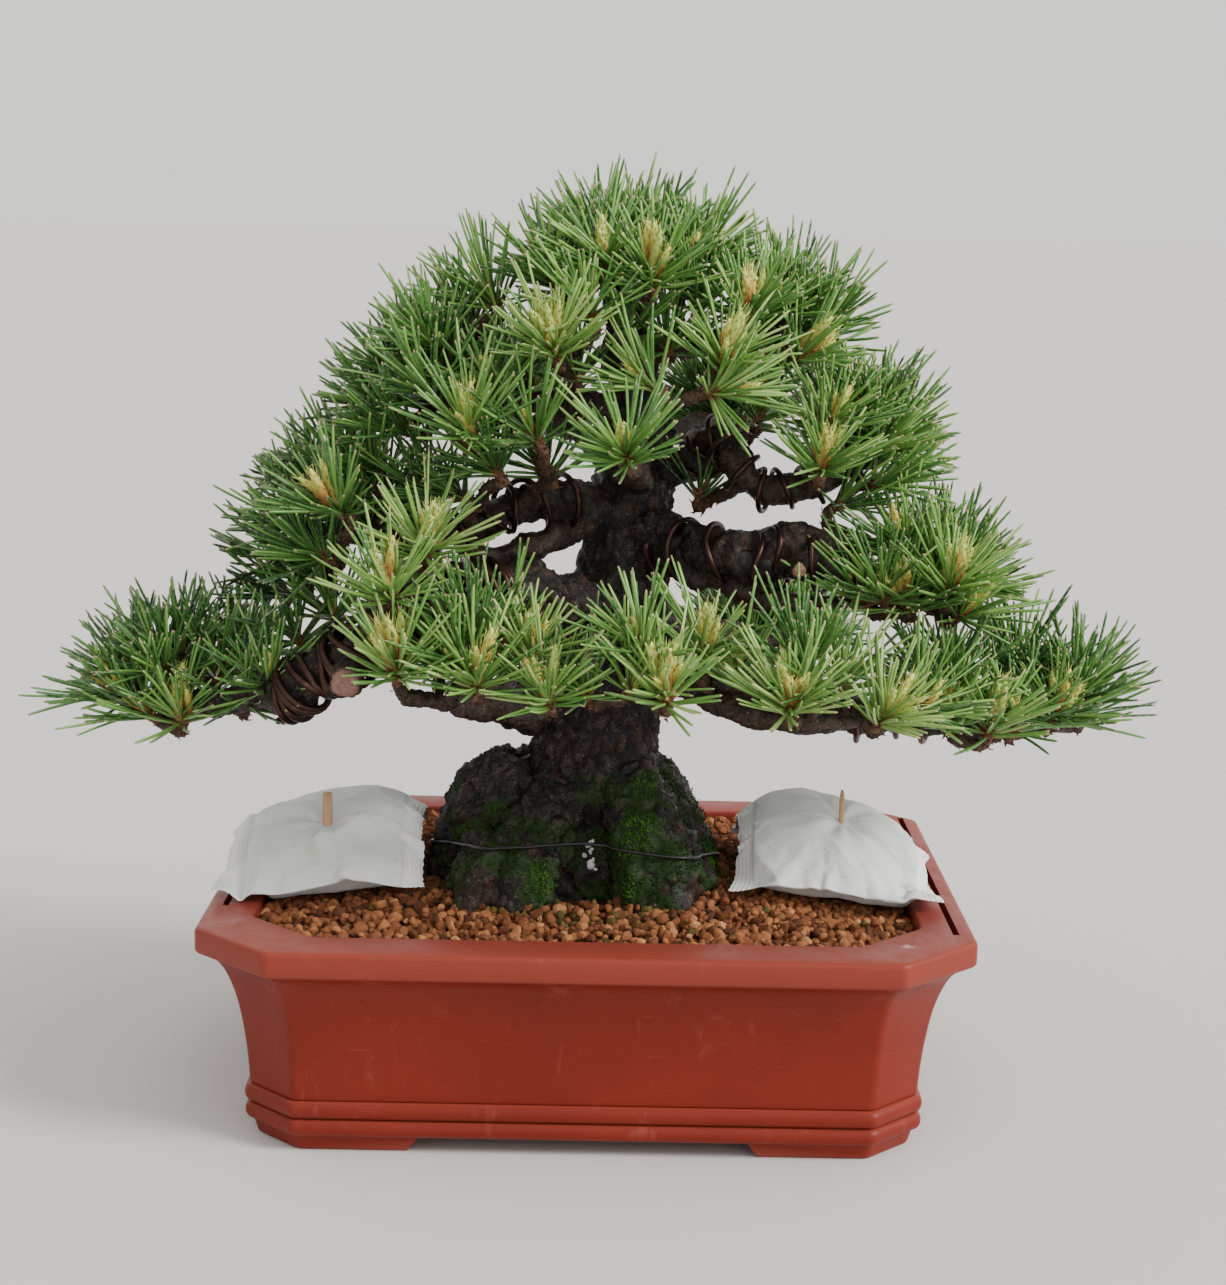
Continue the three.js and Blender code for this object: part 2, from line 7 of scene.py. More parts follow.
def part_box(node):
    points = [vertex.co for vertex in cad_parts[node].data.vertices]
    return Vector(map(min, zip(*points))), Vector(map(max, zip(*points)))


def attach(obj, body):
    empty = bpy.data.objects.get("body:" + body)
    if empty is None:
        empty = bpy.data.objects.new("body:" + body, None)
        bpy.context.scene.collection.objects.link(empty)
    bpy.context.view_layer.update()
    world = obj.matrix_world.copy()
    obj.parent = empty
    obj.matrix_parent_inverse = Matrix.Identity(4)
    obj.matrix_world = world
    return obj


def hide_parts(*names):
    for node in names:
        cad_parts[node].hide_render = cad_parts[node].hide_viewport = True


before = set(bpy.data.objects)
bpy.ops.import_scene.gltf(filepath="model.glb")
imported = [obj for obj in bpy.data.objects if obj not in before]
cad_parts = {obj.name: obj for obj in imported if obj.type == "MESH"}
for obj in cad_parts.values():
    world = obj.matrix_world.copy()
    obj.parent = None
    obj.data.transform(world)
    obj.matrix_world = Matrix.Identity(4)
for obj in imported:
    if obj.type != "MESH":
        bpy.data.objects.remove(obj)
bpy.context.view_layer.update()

# all shapes below are worked out in millimetres from the middle of the pot's footprint
mm = 0.001
potLow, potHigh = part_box("pot")
potMid = np.array([(potLow.x + potHigh.x) / 2, (potLow.y + potHigh.y) / 2, potLow.z])


def toFrame(points):
    return np.asarray(points, float) * mm + potMid


def nodeBox(name):
    low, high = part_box(name)
    low = (np.array(low) - potMid) / mm
    high = (np.array(high) - potMid) / mm
    return (low + high) / 2, (high - low) / 2


# meshes from arrays

def meshFrom(name, points, faceSets, smooth=True):
    mesh = bpy.data.meshes.new(name)
    faceSets = [np.asarray(f, np.int32) for f in faceSets if len(f)]
    corners = np.concatenate([f.ravel() for f in faceSets])
    sizes = np.concatenate([np.full(len(f), f.shape[1]) for f in faceSets])
    starts = np.concatenate([[0], np.cumsum(sizes)[:-1]]).astype(np.int32)
    mesh.vertices.add(len(points))
    mesh.vertices.foreach_set("co", toFrame(points).ravel())
    mesh.loops.add(len(corners))
    mesh.loops.foreach_set("vertex_index", corners)
    mesh.polygons.add(len(sizes))
    mesh.polygons.foreach_set("loop_start", starts)
    mesh.polygons.foreach_set("use_smooth", np.full(len(sizes), smooth))
    mesh.update(calc_edges=True)
    mesh.validate()
    return mesh


def placeMesh(name, mesh, looks=()):
    piece = bpy.data.objects.new(name, mesh)
    bpy.context.scene.collection.objects.link(piece)
    for look in looks:
        mesh.materials.append(look)
    return piece


def rideFrame(piece, replaces=()):
    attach(piece, "root")
    if replaces:
        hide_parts(*replaces)
    return piece


def addPiece(name, mesh, looks, replaces=()):
    return rideFrame(placeMesh(name, mesh, looks), replaces)


def shadeSmooth(mesh):
    mesh.polygons.foreach_set("use_smooth", np.ones(len(mesh.polygons), bool))


def coverWith(mesh, material):
    mesh.materials.clear()
    mesh.materials.append(material)


def setValues(mesh, name, values):
    layer = mesh.attributes.new(name, "FLOAT", "POINT")
    layer.data.foreach_set("value", np.asarray(values, np.float32))


def readPoints(mesh):
    co = np.zeros(len(mesh.vertices) * 3, np.float32)
    mesh.vertices.foreach_get("co", co)
    return (co.reshape(-1, 3).astype(float) - potMid) / mm


def writePoints(mesh, points):
    mesh.vertices.foreach_set("co", toFrame(points).astype(np.float32).ravel())
    mesh.update()


def readNormals(mesh):
    normals = np.zeros(len(mesh.vertices) * 3, np.float32)
    mesh.vertex_normals.foreach_get("vector", normals)
    return normals.reshape(-1, 3).astype(float)


def bakeModifiers(piece):
    graph = bpy.context.evaluated_depsgraph_get()
    graph.update()
    mesh = bpy.data.meshes.new_from_object(piece.evaluated_get(graph))
    piece.modifiers.clear()
    old = piece.data
    piece.data = mesh
    bpy.data.meshes.remove(old)
    return mesh


class Parts:
    # gathers many small shapes into one mesh, with a material number and point values
    def __init__(self):
        self.points, self.tris, self.quads = [], [], []
        self.triLooks, self.quadLooks = [], []
        self.values = {}
        self.count = 0

    def add(self, points, tris=None, quads=None, look=0, **values):
        points = np.asarray(points, float).reshape(-1, 3)
        if tris is not None and len(tris):
            self.tris.append(np.asarray(tris) + self.count)
            self.triLooks.append(np.full(len(tris), look))
        if quads is not None and len(quads):
            self.quads.append(np.asarray(quads) + self.count)
            self.quadLooks.append(np.full(len(quads), look))
        for key, value in values.items():
            store = self.values.setdefault(key, [])
            store.append((self.count, np.broadcast_to(np.asarray(value, float), (len(points),))))
        self.points.append(points)
        self.count += len(points)

    def mesh(self, name, smooth=True):
        sets, looks = [], []
        if self.tris:
            sets.append(np.concatenate(self.tris))
            looks.append(np.concatenate(self.triLooks))
        if self.quads:
            sets.append(np.concatenate(self.quads))
            looks.append(np.concatenate(self.quadLooks))
        mesh = meshFrom(name, np.concatenate(self.points), sets, smooth)
        mesh.polygons.foreach_set("material_index", np.concatenate(looks).astype(np.int32))
        for key, store in self.values.items():
            whole = np.zeros(self.count)
            for start, value in store:
                whole[start:start + len(value)] = value
            setValues(mesh, key, whole)
        return mesh


# noise over arrays of points

def cellRandom(ix, iy, iz, seed):
    with np.errstate(over="ignore"):
        h = (ix.astype(np.uint32) * np.uint32(374761393)
             + iy.astype(np.uint32) * np.uint32(668265263)
             + iz.astype(np.uint32) * np.uint32(2246822519)
             + np.uint32(seed * 97 + 11))
        h = (h ^ (h >> np.uint32(13))) * np.uint32(1274126177)
        h = (h ^ (h >> np.uint32(16))) * np.uint32(2654435761)
        h = h ^ (h >> np.uint32(15))
    return (h & np.uint32(0xFFFFFF)).astype(float) / 0xFFFFFF


def softNoise(points, size, seed=0):
    p = np.asarray(points, float) / size
    base = np.floor(p).astype(np.int64)
    f = p - base
    f = f * f * (3 - 2 * f)
    total = np.zeros(len(p))
    for dx in (0, 1):
        for dy in (0, 1):
            for dz in (0, 1):
                weight = ((f[:, 0] if dx else 1 - f[:, 0])
                          * (f[:, 1] if dy else 1 - f[:, 1])
                          * (f[:, 2] if dz else 1 - f[:, 2]))
                total += weight * cellRandom(base[:, 0] + dx, base[:, 1] + dy, base[:, 2] + dz, seed)
    return total * 2 - 1


def layeredNoise(points, size, layers=3, seed=0):
    total, weight, sumWeight = 0, 1.0, 0
    for i in range(layers):
        total = total + weight * softNoise(points, size / 2 ** i, seed + i)
        sumWeight += weight
        weight *= 0.5
    return total / sumWeight


def plates(points, size, seed=0):
    # distance to the nearest crack of a broken-up surface, and a value for each plate
    p = np.asarray(points, float) / size
    base = np.floor(p).astype(np.int64)
    first = np.full(len(p), 9.0)
    second = np.full(len(p), 9.0)
    owner = np.zeros(len(p))
    for dx in (-1, 0, 1):
        for dy in (-1, 0, 1):
            for dz in (-1, 0, 1):
                cx, cy, cz = base[:, 0] + dx, base[:, 1] + dy, base[:, 2] + dz
                spot = np.stack([
                    cx + cellRandom(cx, cy, cz, seed),
                    cy + cellRandom(cx, cy, cz, seed + 1),
                    cz + cellRandom(cx, cy, cz, seed + 2)], 1)
                d = np.linalg.norm(p - spot, axis=1)
                closer = d < first
                second = np.where(closer, first, np.minimum(second, d))
                owner = np.where(closer, cellRandom(cx, cy, cz, seed + 3), owner)
                first = np.where(closer, d, first)
    return second - first, owner


def smoothStep(low, high, x):
    t = np.clip((x - low) / (high - low), 0, 1)
    return t * t * (3 - 2 * t)


def unit(v):
    v = np.asarray(v, float)
    return v / np.maximum(np.linalg.norm(v, axis=-1, keepdims=True), 1e-9)


# paths and limbs

def smoothPath(points, step=2.5):
    # centripetal curve through the points, resampled to even steps
    p = np.asarray(points, float)
    if len(p) == 2:
        p = np.stack([p[0], (p[0] + p[1]) / 2, p[1]])
    p = np.vstack([2 * p[0] - p[1], p, 2 * p[-1] - p[-2]])
    fine = []
    for i in range(1, len(p) - 2):
        p0, p1, p2, p3 = p[i - 1], p[i], p[i + 1], p[i + 2]
        t1 = math.sqrt(np.linalg.norm(p1 - p0))
        t2 = t1 + math.sqrt(np.linalg.norm(p2 - p1))
        t3 = t2 + math.sqrt(np.linalg.norm(p3 - p2))
        for t in np.linspace(t1, t2, 24, endpoint=False):
            a1 = (t1 - t) / t1 * p0 + t / t1 * p1
            a2 = (t2 - t) / (t2 - t1) * p1 + (t - t1) / (t2 - t1) * p2
            a3 = (t3 - t) / (t3 - t2) * p2 + (t - t2) / (t3 - t2) * p3
            b1 = (t2 - t) / t2 * a1 + t / t2 * a2
            b2 = (t3 - t) / (t3 - t1) * a2 + (t - t1) / (t3 - t1) * a3
            fine.append((t2 - t) / (t2 - t1) * b1 + (t - t1) / (t2 - t1) * b2)
    fine.append(p[-2])
    fine = np.array(fine)
    run = np.concatenate([[0], np.cumsum(np.linalg.norm(np.diff(fine, axis=0), axis=1))])
    count = max(3, int(round(run[-1] / step)) + 1)
    where = np.linspace(0, run[-1], count)
    return np.stack([np.interp(where, run, fine[:, k]) for k in range(3)], 1)


def pathFrames(path):
    tangents = unit(np.gradient(path, axis=0))
    side = np.cross(tangents[0], [0, 0, 1.0])
    if np.linalg.norm(side) < 0.1:
        side = np.cross(tangents[0], [1.0, 0, 0])
    side = unit(side)
    sides = []
    for t in tangents:
        side = unit(side - t * np.dot(side, t))
        sides.append(side)
    sides = np.array(sides)
    return tangents, sides, np.cross(tangents, sides)


def tube(path, radii, sides=12, endRise=0.3):
    # round rod along a path, closed at both ends by low cones
    tangents, across, up = pathFrames(path)
    radii = np.broadcast_to(np.asarray(radii, float), (len(path),))
    angles = np.linspace(0, 2 * math.pi, sides, endpoint=False)
    ring = (np.cos(angles)[None, :, None] * across[:, None, :]
            + np.sin(angles)[None, :, None] * up[:, None, :])
    points = (path[:, None, :] + radii[:, None, None] * ring).reshape(-1, 3)
    points = np.vstack([points, path[0] - tangents[0] * radii[0] * endRise,
                        path[-1] + tangents[-1] * radii[-1] * endRise])
    first, last, lastRing = len(path) * sides, len(path) * sides + 1, (len(path) - 1) * sides
    tris = []
    for k in range(sides):
        n = (k + 1) % sides
        tris.append((first, n, k))
        tris.append((last, lastRing + k, lastRing + n))
    return points, np.array(tris), gridQuads(len(path), sides)


def gridQuads(rows, columns, closed=True):
    r = np.arange(rows - 1)[:, None]
    c = np.arange(columns if closed else columns - 1)[None, :]
    n = (c + 1) % columns
    return np.stack([r * columns + c, r * columns + n, (r + 1) * columns + n, (r + 1) * columns + c],
                    -1).reshape(-1, 4)


# materials

class Value:
    # a socket that can be used in sums
    def __init__(self, nodes, socket):
        self.nodes, self.socket = nodes, socket

    def work(self, operation, a, b):
        return self.nodes.node("Math", {"operation": operation}, {0: a, 1: b})

    def __add__(self, other):
        return self.work("ADD", self, other)

    def __radd__(self, other):
        return self.work("ADD", other, self)

    def __sub__(self, other):
        return self.work("SUBTRACT", self, other)

    def __rsub__(self, other):
        return self.work("SUBTRACT", other, self)

    def __mul__(self, other):
        return self.work("MULTIPLY", self, other)

    def __rmul__(self, other):
        return self.work("MULTIPLY", other, self)

    def __pow__(self, other):
        return self.work("POWER", self, other)

    def __rpow__(self, other):
        return self.work("POWER", other, self)


class Nodes:
    # makes and links the nodes of one tree
    def __init__(self, tree):
        self.tree = tree

    def feed(self, socket, value):
        if isinstance(value, Value):
            self.tree.links.new(value.socket, socket)
        elif hasattr(value, "__len__") and len(value) == 3 and socket.type == "RGBA":
            socket.default_value = (*value, 1)
        else:
            socket.default_value = value

    def setStops(self, ramp, stops):
        while len(ramp.elements) > 1:
            ramp.elements.remove(ramp.elements[-1])
        for i, (position, color) in enumerate(stops):
            stop = ramp.elements[0] if i == 0 else ramp.elements.new(position)
            stop.position = position
            stop.color = (*color, 1)

    def make(self, kind, settings=None, inputs=None):
        made = self.tree.nodes.new("ShaderNode" + kind)
        for key, value in (settings or {}).items():
            if key == "stops":
                self.setStops(made.color_ramp, value)
            else:
                setattr(made, key, value)
        for key, value in (inputs or {}).items():
            self.feed(made.inputs[key], value)
        return made

    def node(self, kind, settings=None, inputs=None, out=0):
        return Value(self, self.make(kind, settings, inputs).outputs[out])


class Look(Nodes):
    # a material; the shader's sockets are given by name, with _ for a space
    def __init__(self, name, **fixed):
        self.material = bpy.data.materials.new(name)
        self.material.use_nodes = True
        super().__init__(self.material.node_tree)
        self.tree.nodes.clear()
        self.shader = self.make("BsdfPrincipled")
        self.make("OutputMaterial", {}, {"Surface": Value(self, self.shader.outputs[0])})
        self.finish(**fixed)

    def place(self, stretch=(1, 1, 1)):
        spot = self.node("TexCoord", out="Object")
        return self.node("Mapping", {"vector_type": "POINT"}, {"Vector": spot, "Scale": stretch})

    def noise(self, size, detail=3, rough=0.55, stretch=(1, 1, 1), distortion=0):
        return self.node("TexNoise", {}, {"Vector": self.place(stretch), "Scale": 1 / (size * mm),
                         "Detail": detail, "Roughness": rough, "Distortion": distortion})

    def cells(self, size):
        return self.node("TexVoronoi", {"feature": "F1"}, {"Vector": self.place(), "Scale": 1 / (size * mm)})

    def value(self, name):
        return self.node("Attribute", {"attribute_name": name}, out="Fac")

    def fit(self, value, low, high):
        # 0 at low and 1 at high, with soft ends
        return self.node("MapRange", {"interpolation_type": "SMOOTHSTEP"},
                         {"Value": value, "From Min": low, "From Max": high})

    def ramp(self, value, *stops):
        return self.node("ValToRGB", {"stops": stops}, {"Fac": value})

    def mix(self, factor, a, b):
        return self.node("Mix", {"data_type": "RGBA", "blend_type": "MIX"}, {0: factor, 6: a, 7: b}, out=2)

    def bump(self, height, depth, strength=1):
        return self.node("Bump", {}, {"Height": height, "Distance": depth * mm, "Strength": strength})

    def finish(self, **sockets):
        for key, value in sockets.items():
            self.feed(self.shader.inputs[key.replace("_", " ")], value)
        return self.material


# camera, placed where a person at the table would stand

# place in millimetres, angles in radians, focal length and sensor in millimetres, clipping in metres
cameraView = {"place": (4.0, -1010.3, 366.5), "turn": -0.0046, "down": 0.1748, "roll": 0.0198,
              "focal": 67.2, "sensor": 36, "clip": (0.05, 60)}


def makeCamera():
    turn, down, roll = cameraView["turn"], cameraView["down"], cameraView["roll"]
    ahead = np.array([-math.sin(turn) * math.cos(down), math.cos(turn) * math.cos(down), -math.sin(down)])
    right = np.array([math.cos(turn), math.sin(turn), 0])
    up = np.cross(right, ahead)
    tiltedRight = right * math.cos(roll) + up * math.sin(roll)
    tiltedUp = up * math.cos(roll) - right * math.sin(roll)
    data = bpy.data.cameras.new("camera")
    data.lens = cameraView["focal"]
    data.sensor_width = cameraView["sensor"]
    data.clip_start, data.clip_end = cameraView["clip"]
    camera = bpy.data.objects.new("camera", data)
    spot = toFrame(cameraView["place"])
    matrix = Matrix.Identity(4)
    for row in range(3):
        matrix[row][0] = tiltedRight[row]
        matrix[row][1] = tiltedUp[row]
        matrix[row][2] = -ahead[row]
        matrix[row][3] = spot[row]
    camera.matrix_world = matrix
    bpy.context.scene.collection.objects.link(camera)
    bpy.context.scene.camera = camera


makeCamera()
print("camera set")

# studio: pale floor, soft light

studio = {
    "floor": (0.625, 0.61, 0.592), "floorReach": 60000, "sky": (0.98, 0.965, 0.945), "skyStrength": 1.18,
    "rightward": 0.3,   # how much brighter the sky is on the right
    # name, place, spread in degrees, strength, colour; wide and far off, so that the floor is lit evenly
    "lights": [("keyLight", (1300, -560, 1100), 22, 3.9, (1.0, 0.975, 0.94)),
               ("fillLight", (300, -1100, 500), 50, 0.35, (0.95, 0.97, 1.0))],
    "aim": (0, 0, 190),
}


def makeFloor():
    look = Look("studioFloor", Roughness=0.75, Specular_IOR_Level=0.2)
    cloud = look.noise(400, 2)
    darker = tuple(c * 0.985 for c in studio["floor"])
    look.finish(Base_Color=look.ramp(cloud, (0.3, darker), (0.7, studio["floor"])))
    far = studio["floorReach"]
    points = [(-far, -far, 0), (far, -far, 0), (far, far, 0), (-far, far, 0)]
    mesh = meshFrom("studioFloor", points, [[(0, 1, 2, 3)]], False)
    placeMesh("studioFloor", mesh, [look.material])


def makeSky():
    world = bpy.data.worlds.new("studioSky")
    world.use_nodes = True
    sky = Nodes(world.node_tree)
    shade = sky.tree.nodes["Background"].inputs
    rightness = sky.node("SeparateXYZ", {}, {0: sky.node("TexCoord", out="Generated")})
    sky.feed(shade["Color"], studio["sky"])
    sky.feed(shade["Strength"], rightness ** 3 * studio["rightward"] + studio["skyStrength"])
    bpy.context.scene.world = world


def makeLights():
    for name, place, spread, power, color in studio["lights"]:
        data = bpy.data.lights.new(name, "SUN")
        data.angle = math.radians(spread)
        data.energy = power
        data.color = color
        light = bpy.data.objects.new(name, data)
        light.location = toFrame(place)
        aim = Vector(toFrame(studio["aim"])) - light.location
        light.rotation_euler = aim.to_track_quat("-Z", "Y").to_euler()
        bpy.context.scene.collection.objects.link(light)


makeFloor()
makeSky()
makeLights()
print("studio ready")

# pot

pot = {
    "width": 310, "depth": 260, "height": 88, "cut": 32, "corner": 2.6,
    "opening": (134, 106), "openingCut": 27, "openingCorner": 7, "floor": (129, 102), "floorTop": 12,
    "underside": 7, "footGaps": (140, 92), "footSlant": 5.5,
    "slot": (147.5, 2.6, 6), "slotBack": 101, "slotFront": {-1: -66, 1: -89}, "drain": (62, 11),
    "red": (0.157, 0.0140, 0.0066), "pale": (0.245, 0.043, 0.028), "dustAndEdgeHighlight": (0.36, 0.115, 0.080),
    "scuff": (126, -106, 88), "scuffColor": (0.60, 0.36, 0.29), "rimBand": (76, 78),
}


def roundedOctagon(halfX, halfY, cut, corner, z, arc=6):
    spots = []
    for sx, sy in ((1, -1), (1, 1), (-1, 1), (-1, -1)):
        front = np.array([sx * (halfX - cut), sy * halfY])
        side = np.array([sx * halfX, sy * (halfY - cut)])
        spots += [front, side] if sx * sy < 0 else [side, front]
    loop = []
    for i, spot in enumerate(spots):
        before, after = spots[i - 1], spots[(i + 1) % 8]
        toBefore = unit(before - spot)
        toAfter = unit(after - spot)
        reach = corner * math.tan(math.radians(22.5))
        a, b = spot + toBefore * reach, spot + toAfter * reach
        for k in range(arc):
            t = k / (arc - 1)
            loop.append((1 - t) ** 2 * a + 2 * t * (1 - t) * spot + t * t * b)
    loop = np.array(loop)
    return np.column_stack([loop, np.full(len(loop), z)])


def stackLoops(loops):
    count = len(loops[0])
    points = np.vstack(loops + [loops[0].mean(0)[None], loops[-1].mean(0)[None]])
    quads = gridQuads(len(loops), count)
    low, high = len(loops) * count, len(loops) * count + 1
    top = (len(loops) - 1) * count
    tris = [(low, (k + 1) % count, k) for k in range(count)]
    tris += [(high, top + k, top + (k + 1) % count) for k in range(count)]
    return points, tris, quads


def potLoop(inset, z):
    cut = pot["cut"] - inset * (2 - math.sqrt(2))
    return roundedOctagon(pot["width"] / 2 - inset, pot["depth"] / 2 - inset, cut, pot["corner"] * 2.2, z)


def potProfile():
    # height and inset of each level, from the feet over two beads and up the hollow wall to the rim
    levels = [(0, 24.2), (0.5, 23.5), (2, 22.9), (4.5, 22.2), (6.6, 21.6)]
    for low, high, groove, crown in ((6.8, 13.7, 21.4, 18.5), (14.1, 21.2, 21.2, 18.3)):
        for angle in np.linspace(0, math.pi, 11):
            bulge = math.sin(angle) ** 0.7
            middle, half = (low + high) / 2, (high - low) / 2
            levels.append((middle - half * math.cos(angle), groove + (crown - groove) * bulge))
    levels += [(21.6, 20.6), (22.6, 20.3)]
    cove = smoothPath([(24, 0, 20.2), (34, 0, 19.4), (46, 0, 17.8), (57, 0, 15.6), (65, 0, 13.0),
                       (70.5, 0, 10.4), (74, 0, 7.6), (76, 0, 4.6), (77.3, 0, 1.9)], 1.6)
    levels += [(p[0], p[2]) for p in cove]
    levels += [(77.7, 0.9), (78.3, 0.3), (79.1, 0), (86.0, 0), (86.9, 0.18), (87.5, 0.6), (87.86, 1.2),
               (88, 2.1)]
    return levels


def cutAway(target, points, tris, quads):
    mesh = meshFrom("cutter", points, [np.asarray(tris).reshape(-1, 3), np.asarray(quads).reshape(-1, 4)])
    cutter = placeMesh("cutter", mesh)
    change = target.modifiers.new("cut", "BOOLEAN")
    change.operation = "DIFFERENCE"
    change.solver = "EXACT"
    change.object = cutter
    bakeModifiers(target)
    bpy.data.objects.remove(cutter)
    bpy.data.meshes.remove(mesh)


def boxShape(low, high):
    (x0, y0, z0), (x1, y1, z1) = low, high
    points = [(x0, y0, z0), (x1, y0, z0), (x1, y1, z0), (x0, y1, z0),
              (x0, y0, z1), (x1, y0, z1), (x1, y1, z1), (x0, y1, z1)]
    quads = [(0, 3, 2, 1), (4, 5, 6, 7), (0, 1, 5, 4), (1, 2, 6, 5), (2, 3, 7, 6), (3, 0, 4, 7)]
    return np.array(points, float), quads


def potLook():
    look = Look("potPlastic", Specular_IOR_Level=0.2)
    wide = look.noise(60, 4, 0.6)
    fine = look.noise(1.1, 3, 0.6)
    scuffs = look.noise(14, 5, 0.7, (1, 1, 0.35), 0.6)
    scratches = look.noise(5, 4, 0.6, (0.25, 1, 3.5), 1.5)
    up = look.node("SeparateXYZ", {}, {0: look.node("NewGeometry", out="Normal")}, out=2)
    upward = look.fit(up, 0.6, 0.95)
    # convex edges turn paler: partly rubbed wear, partly a painted highlight along the rim and corner edges
    worn = look.fit(look.node("NewGeometry", out="Pointiness"), 0.52, 0.60)
    dustAndEdgeHighlight = look.fit(scuffs, 0.56, 0.74) * 0.26 + worn * 0.6
    base = look.mix(look.fit(wide, 0.35, 0.65), pot["red"], tuple(c * 1.14 for c in pot["red"]))
    base = look.mix(upward * 0.85, base, pot["pale"])
    base = look.mix(dustAndEdgeHighlight, base, pot["dustAndEdgeHighlight"])
    base = look.mix(look.fit(scratches, 0.66, 0.72) * 0.22, base, pot["dustAndEdgeHighlight"])
    spot = look.node("NewGeometry", out="Position")
    level = look.node("SeparateXYZ", {}, {0: spot}, out=2)
    low, high = [float(toFrame((0, 0, z))[2]) for z in pot["rimBand"]]
    base = look.mix(look.fit(level, low, high) * 0.6, base, pot["pale"])
    scuff = tuple(toFrame(pot["scuff"]))
    away = look.node("VectorMath", {"operation": "DISTANCE"}, {0: spot, 1: scuff}, out="Value")
    chip = look.fit(away + (look.noise(2.2, 4, 0.8) - 0.5) * 0.012, 0.0024, 0.0010)
    base = look.mix(chip * 0.8, base, pot["scuffColor"])
    rough = 0.33 + look.fit(scuffs, 0.4, 0.7) * 0.16 + fine * 0.08
    height = fine * 0.6 + scuffs * 0.5 + look.fit(scratches, 0.66, 0.72) * -0.6
    return look.finish(Base_Color=base, Roughness=rough, Normal=look.bump(height, 0.12, 0.6))


def makePot():
    loops = [potLoop(inset, z) for z, inset in potProfile()]
    points, tris, quads = stackLoops(loops)
    mesh = meshFrom("potBody", points, [tris, quads])
    piece = addPiece("potBody", mesh, [], ["pot"])
    openX, openY = pot["opening"]
    cut, corner = pot["openingCut"], pot["openingCorner"]
    inside = [(pot["floorTop"], pot["floor"][0] - openX, pot["floor"][1] - openY, cut - 6),
              (14, pot["floor"][0] - openX + 1.5, pot["floor"][1] - openY + 1.5, cut - 6),
              (76, 0, 2, cut), (82, 0, 0, cut), (86.4, 0, 0, cut), (87.2, 0.3, 0.3, cut),
              (87.7, 0.8, 0.8, cut), (88.02, 1.7, 1.7, cut), (92, 2.2, 2.2, cut)]
    loops = [roundedOctagon(openX + dx, openY + dy, c, corner, z) for z, dx, dy, c in inside]
    cutAway(piece, *stackLoops(loops))
    for gap, reach, turned in ((pot["footGaps"][0], pot["depth"], False),
                               (pot["footGaps"][1], pot["width"], True)):
        halfLow, halfTop, end = gap / 2, gap / 2 - pot["footSlant"], reach / 2 + 10
        top = pot["underside"]
        outline = [(-halfLow - 2.4, -3), (halfLow + 2.4, -3), (halfLow, 0), (halfTop + 0.8, top - 0.7),
                   (halfTop - 0.6, top), (-halfTop + 0.6, top), (-halfTop - 0.8, top - 0.7), (-halfLow, 0)]
        rings = []
        for y in (end, -end):
            ring = np.array([(x, y, z) for x, z in outline], float)
            if turned:
                ring = np.column_stack([-ring[:, 1], ring[:, 0], ring[:, 2]])
            rings.append(ring)
        cutAway(piece, *stackLoops(rings))
    slotX, slotWidth, slotDepth = pot["slot"]
    drainX, drainRadius = pot["drain"]
    for side in (-1, 1):
        low = (side * slotX - slotWidth / 2, pot["slotFront"][side], pot["height"] - slotDepth)
        high = (side * slotX + slotWidth / 2, pot["slotBack"], pot["height"] + 5)
        shape, quads = boxShape(low, high)
        cutAway(piece, shape, [], quads)
        path = np.array([(side * drainX, 0, 3), (side * drainX, 0, 20)], float)
        cutAway(piece, *tube(path, drainRadius, 40))
    shadeSmooth(piece.data)
    piece.data.set_sharp_from_angle(angle=math.radians(34))
    piece.data.materials.append(potLook())


makePot()
print("pot made")

# wood: root base, trunk and limbs

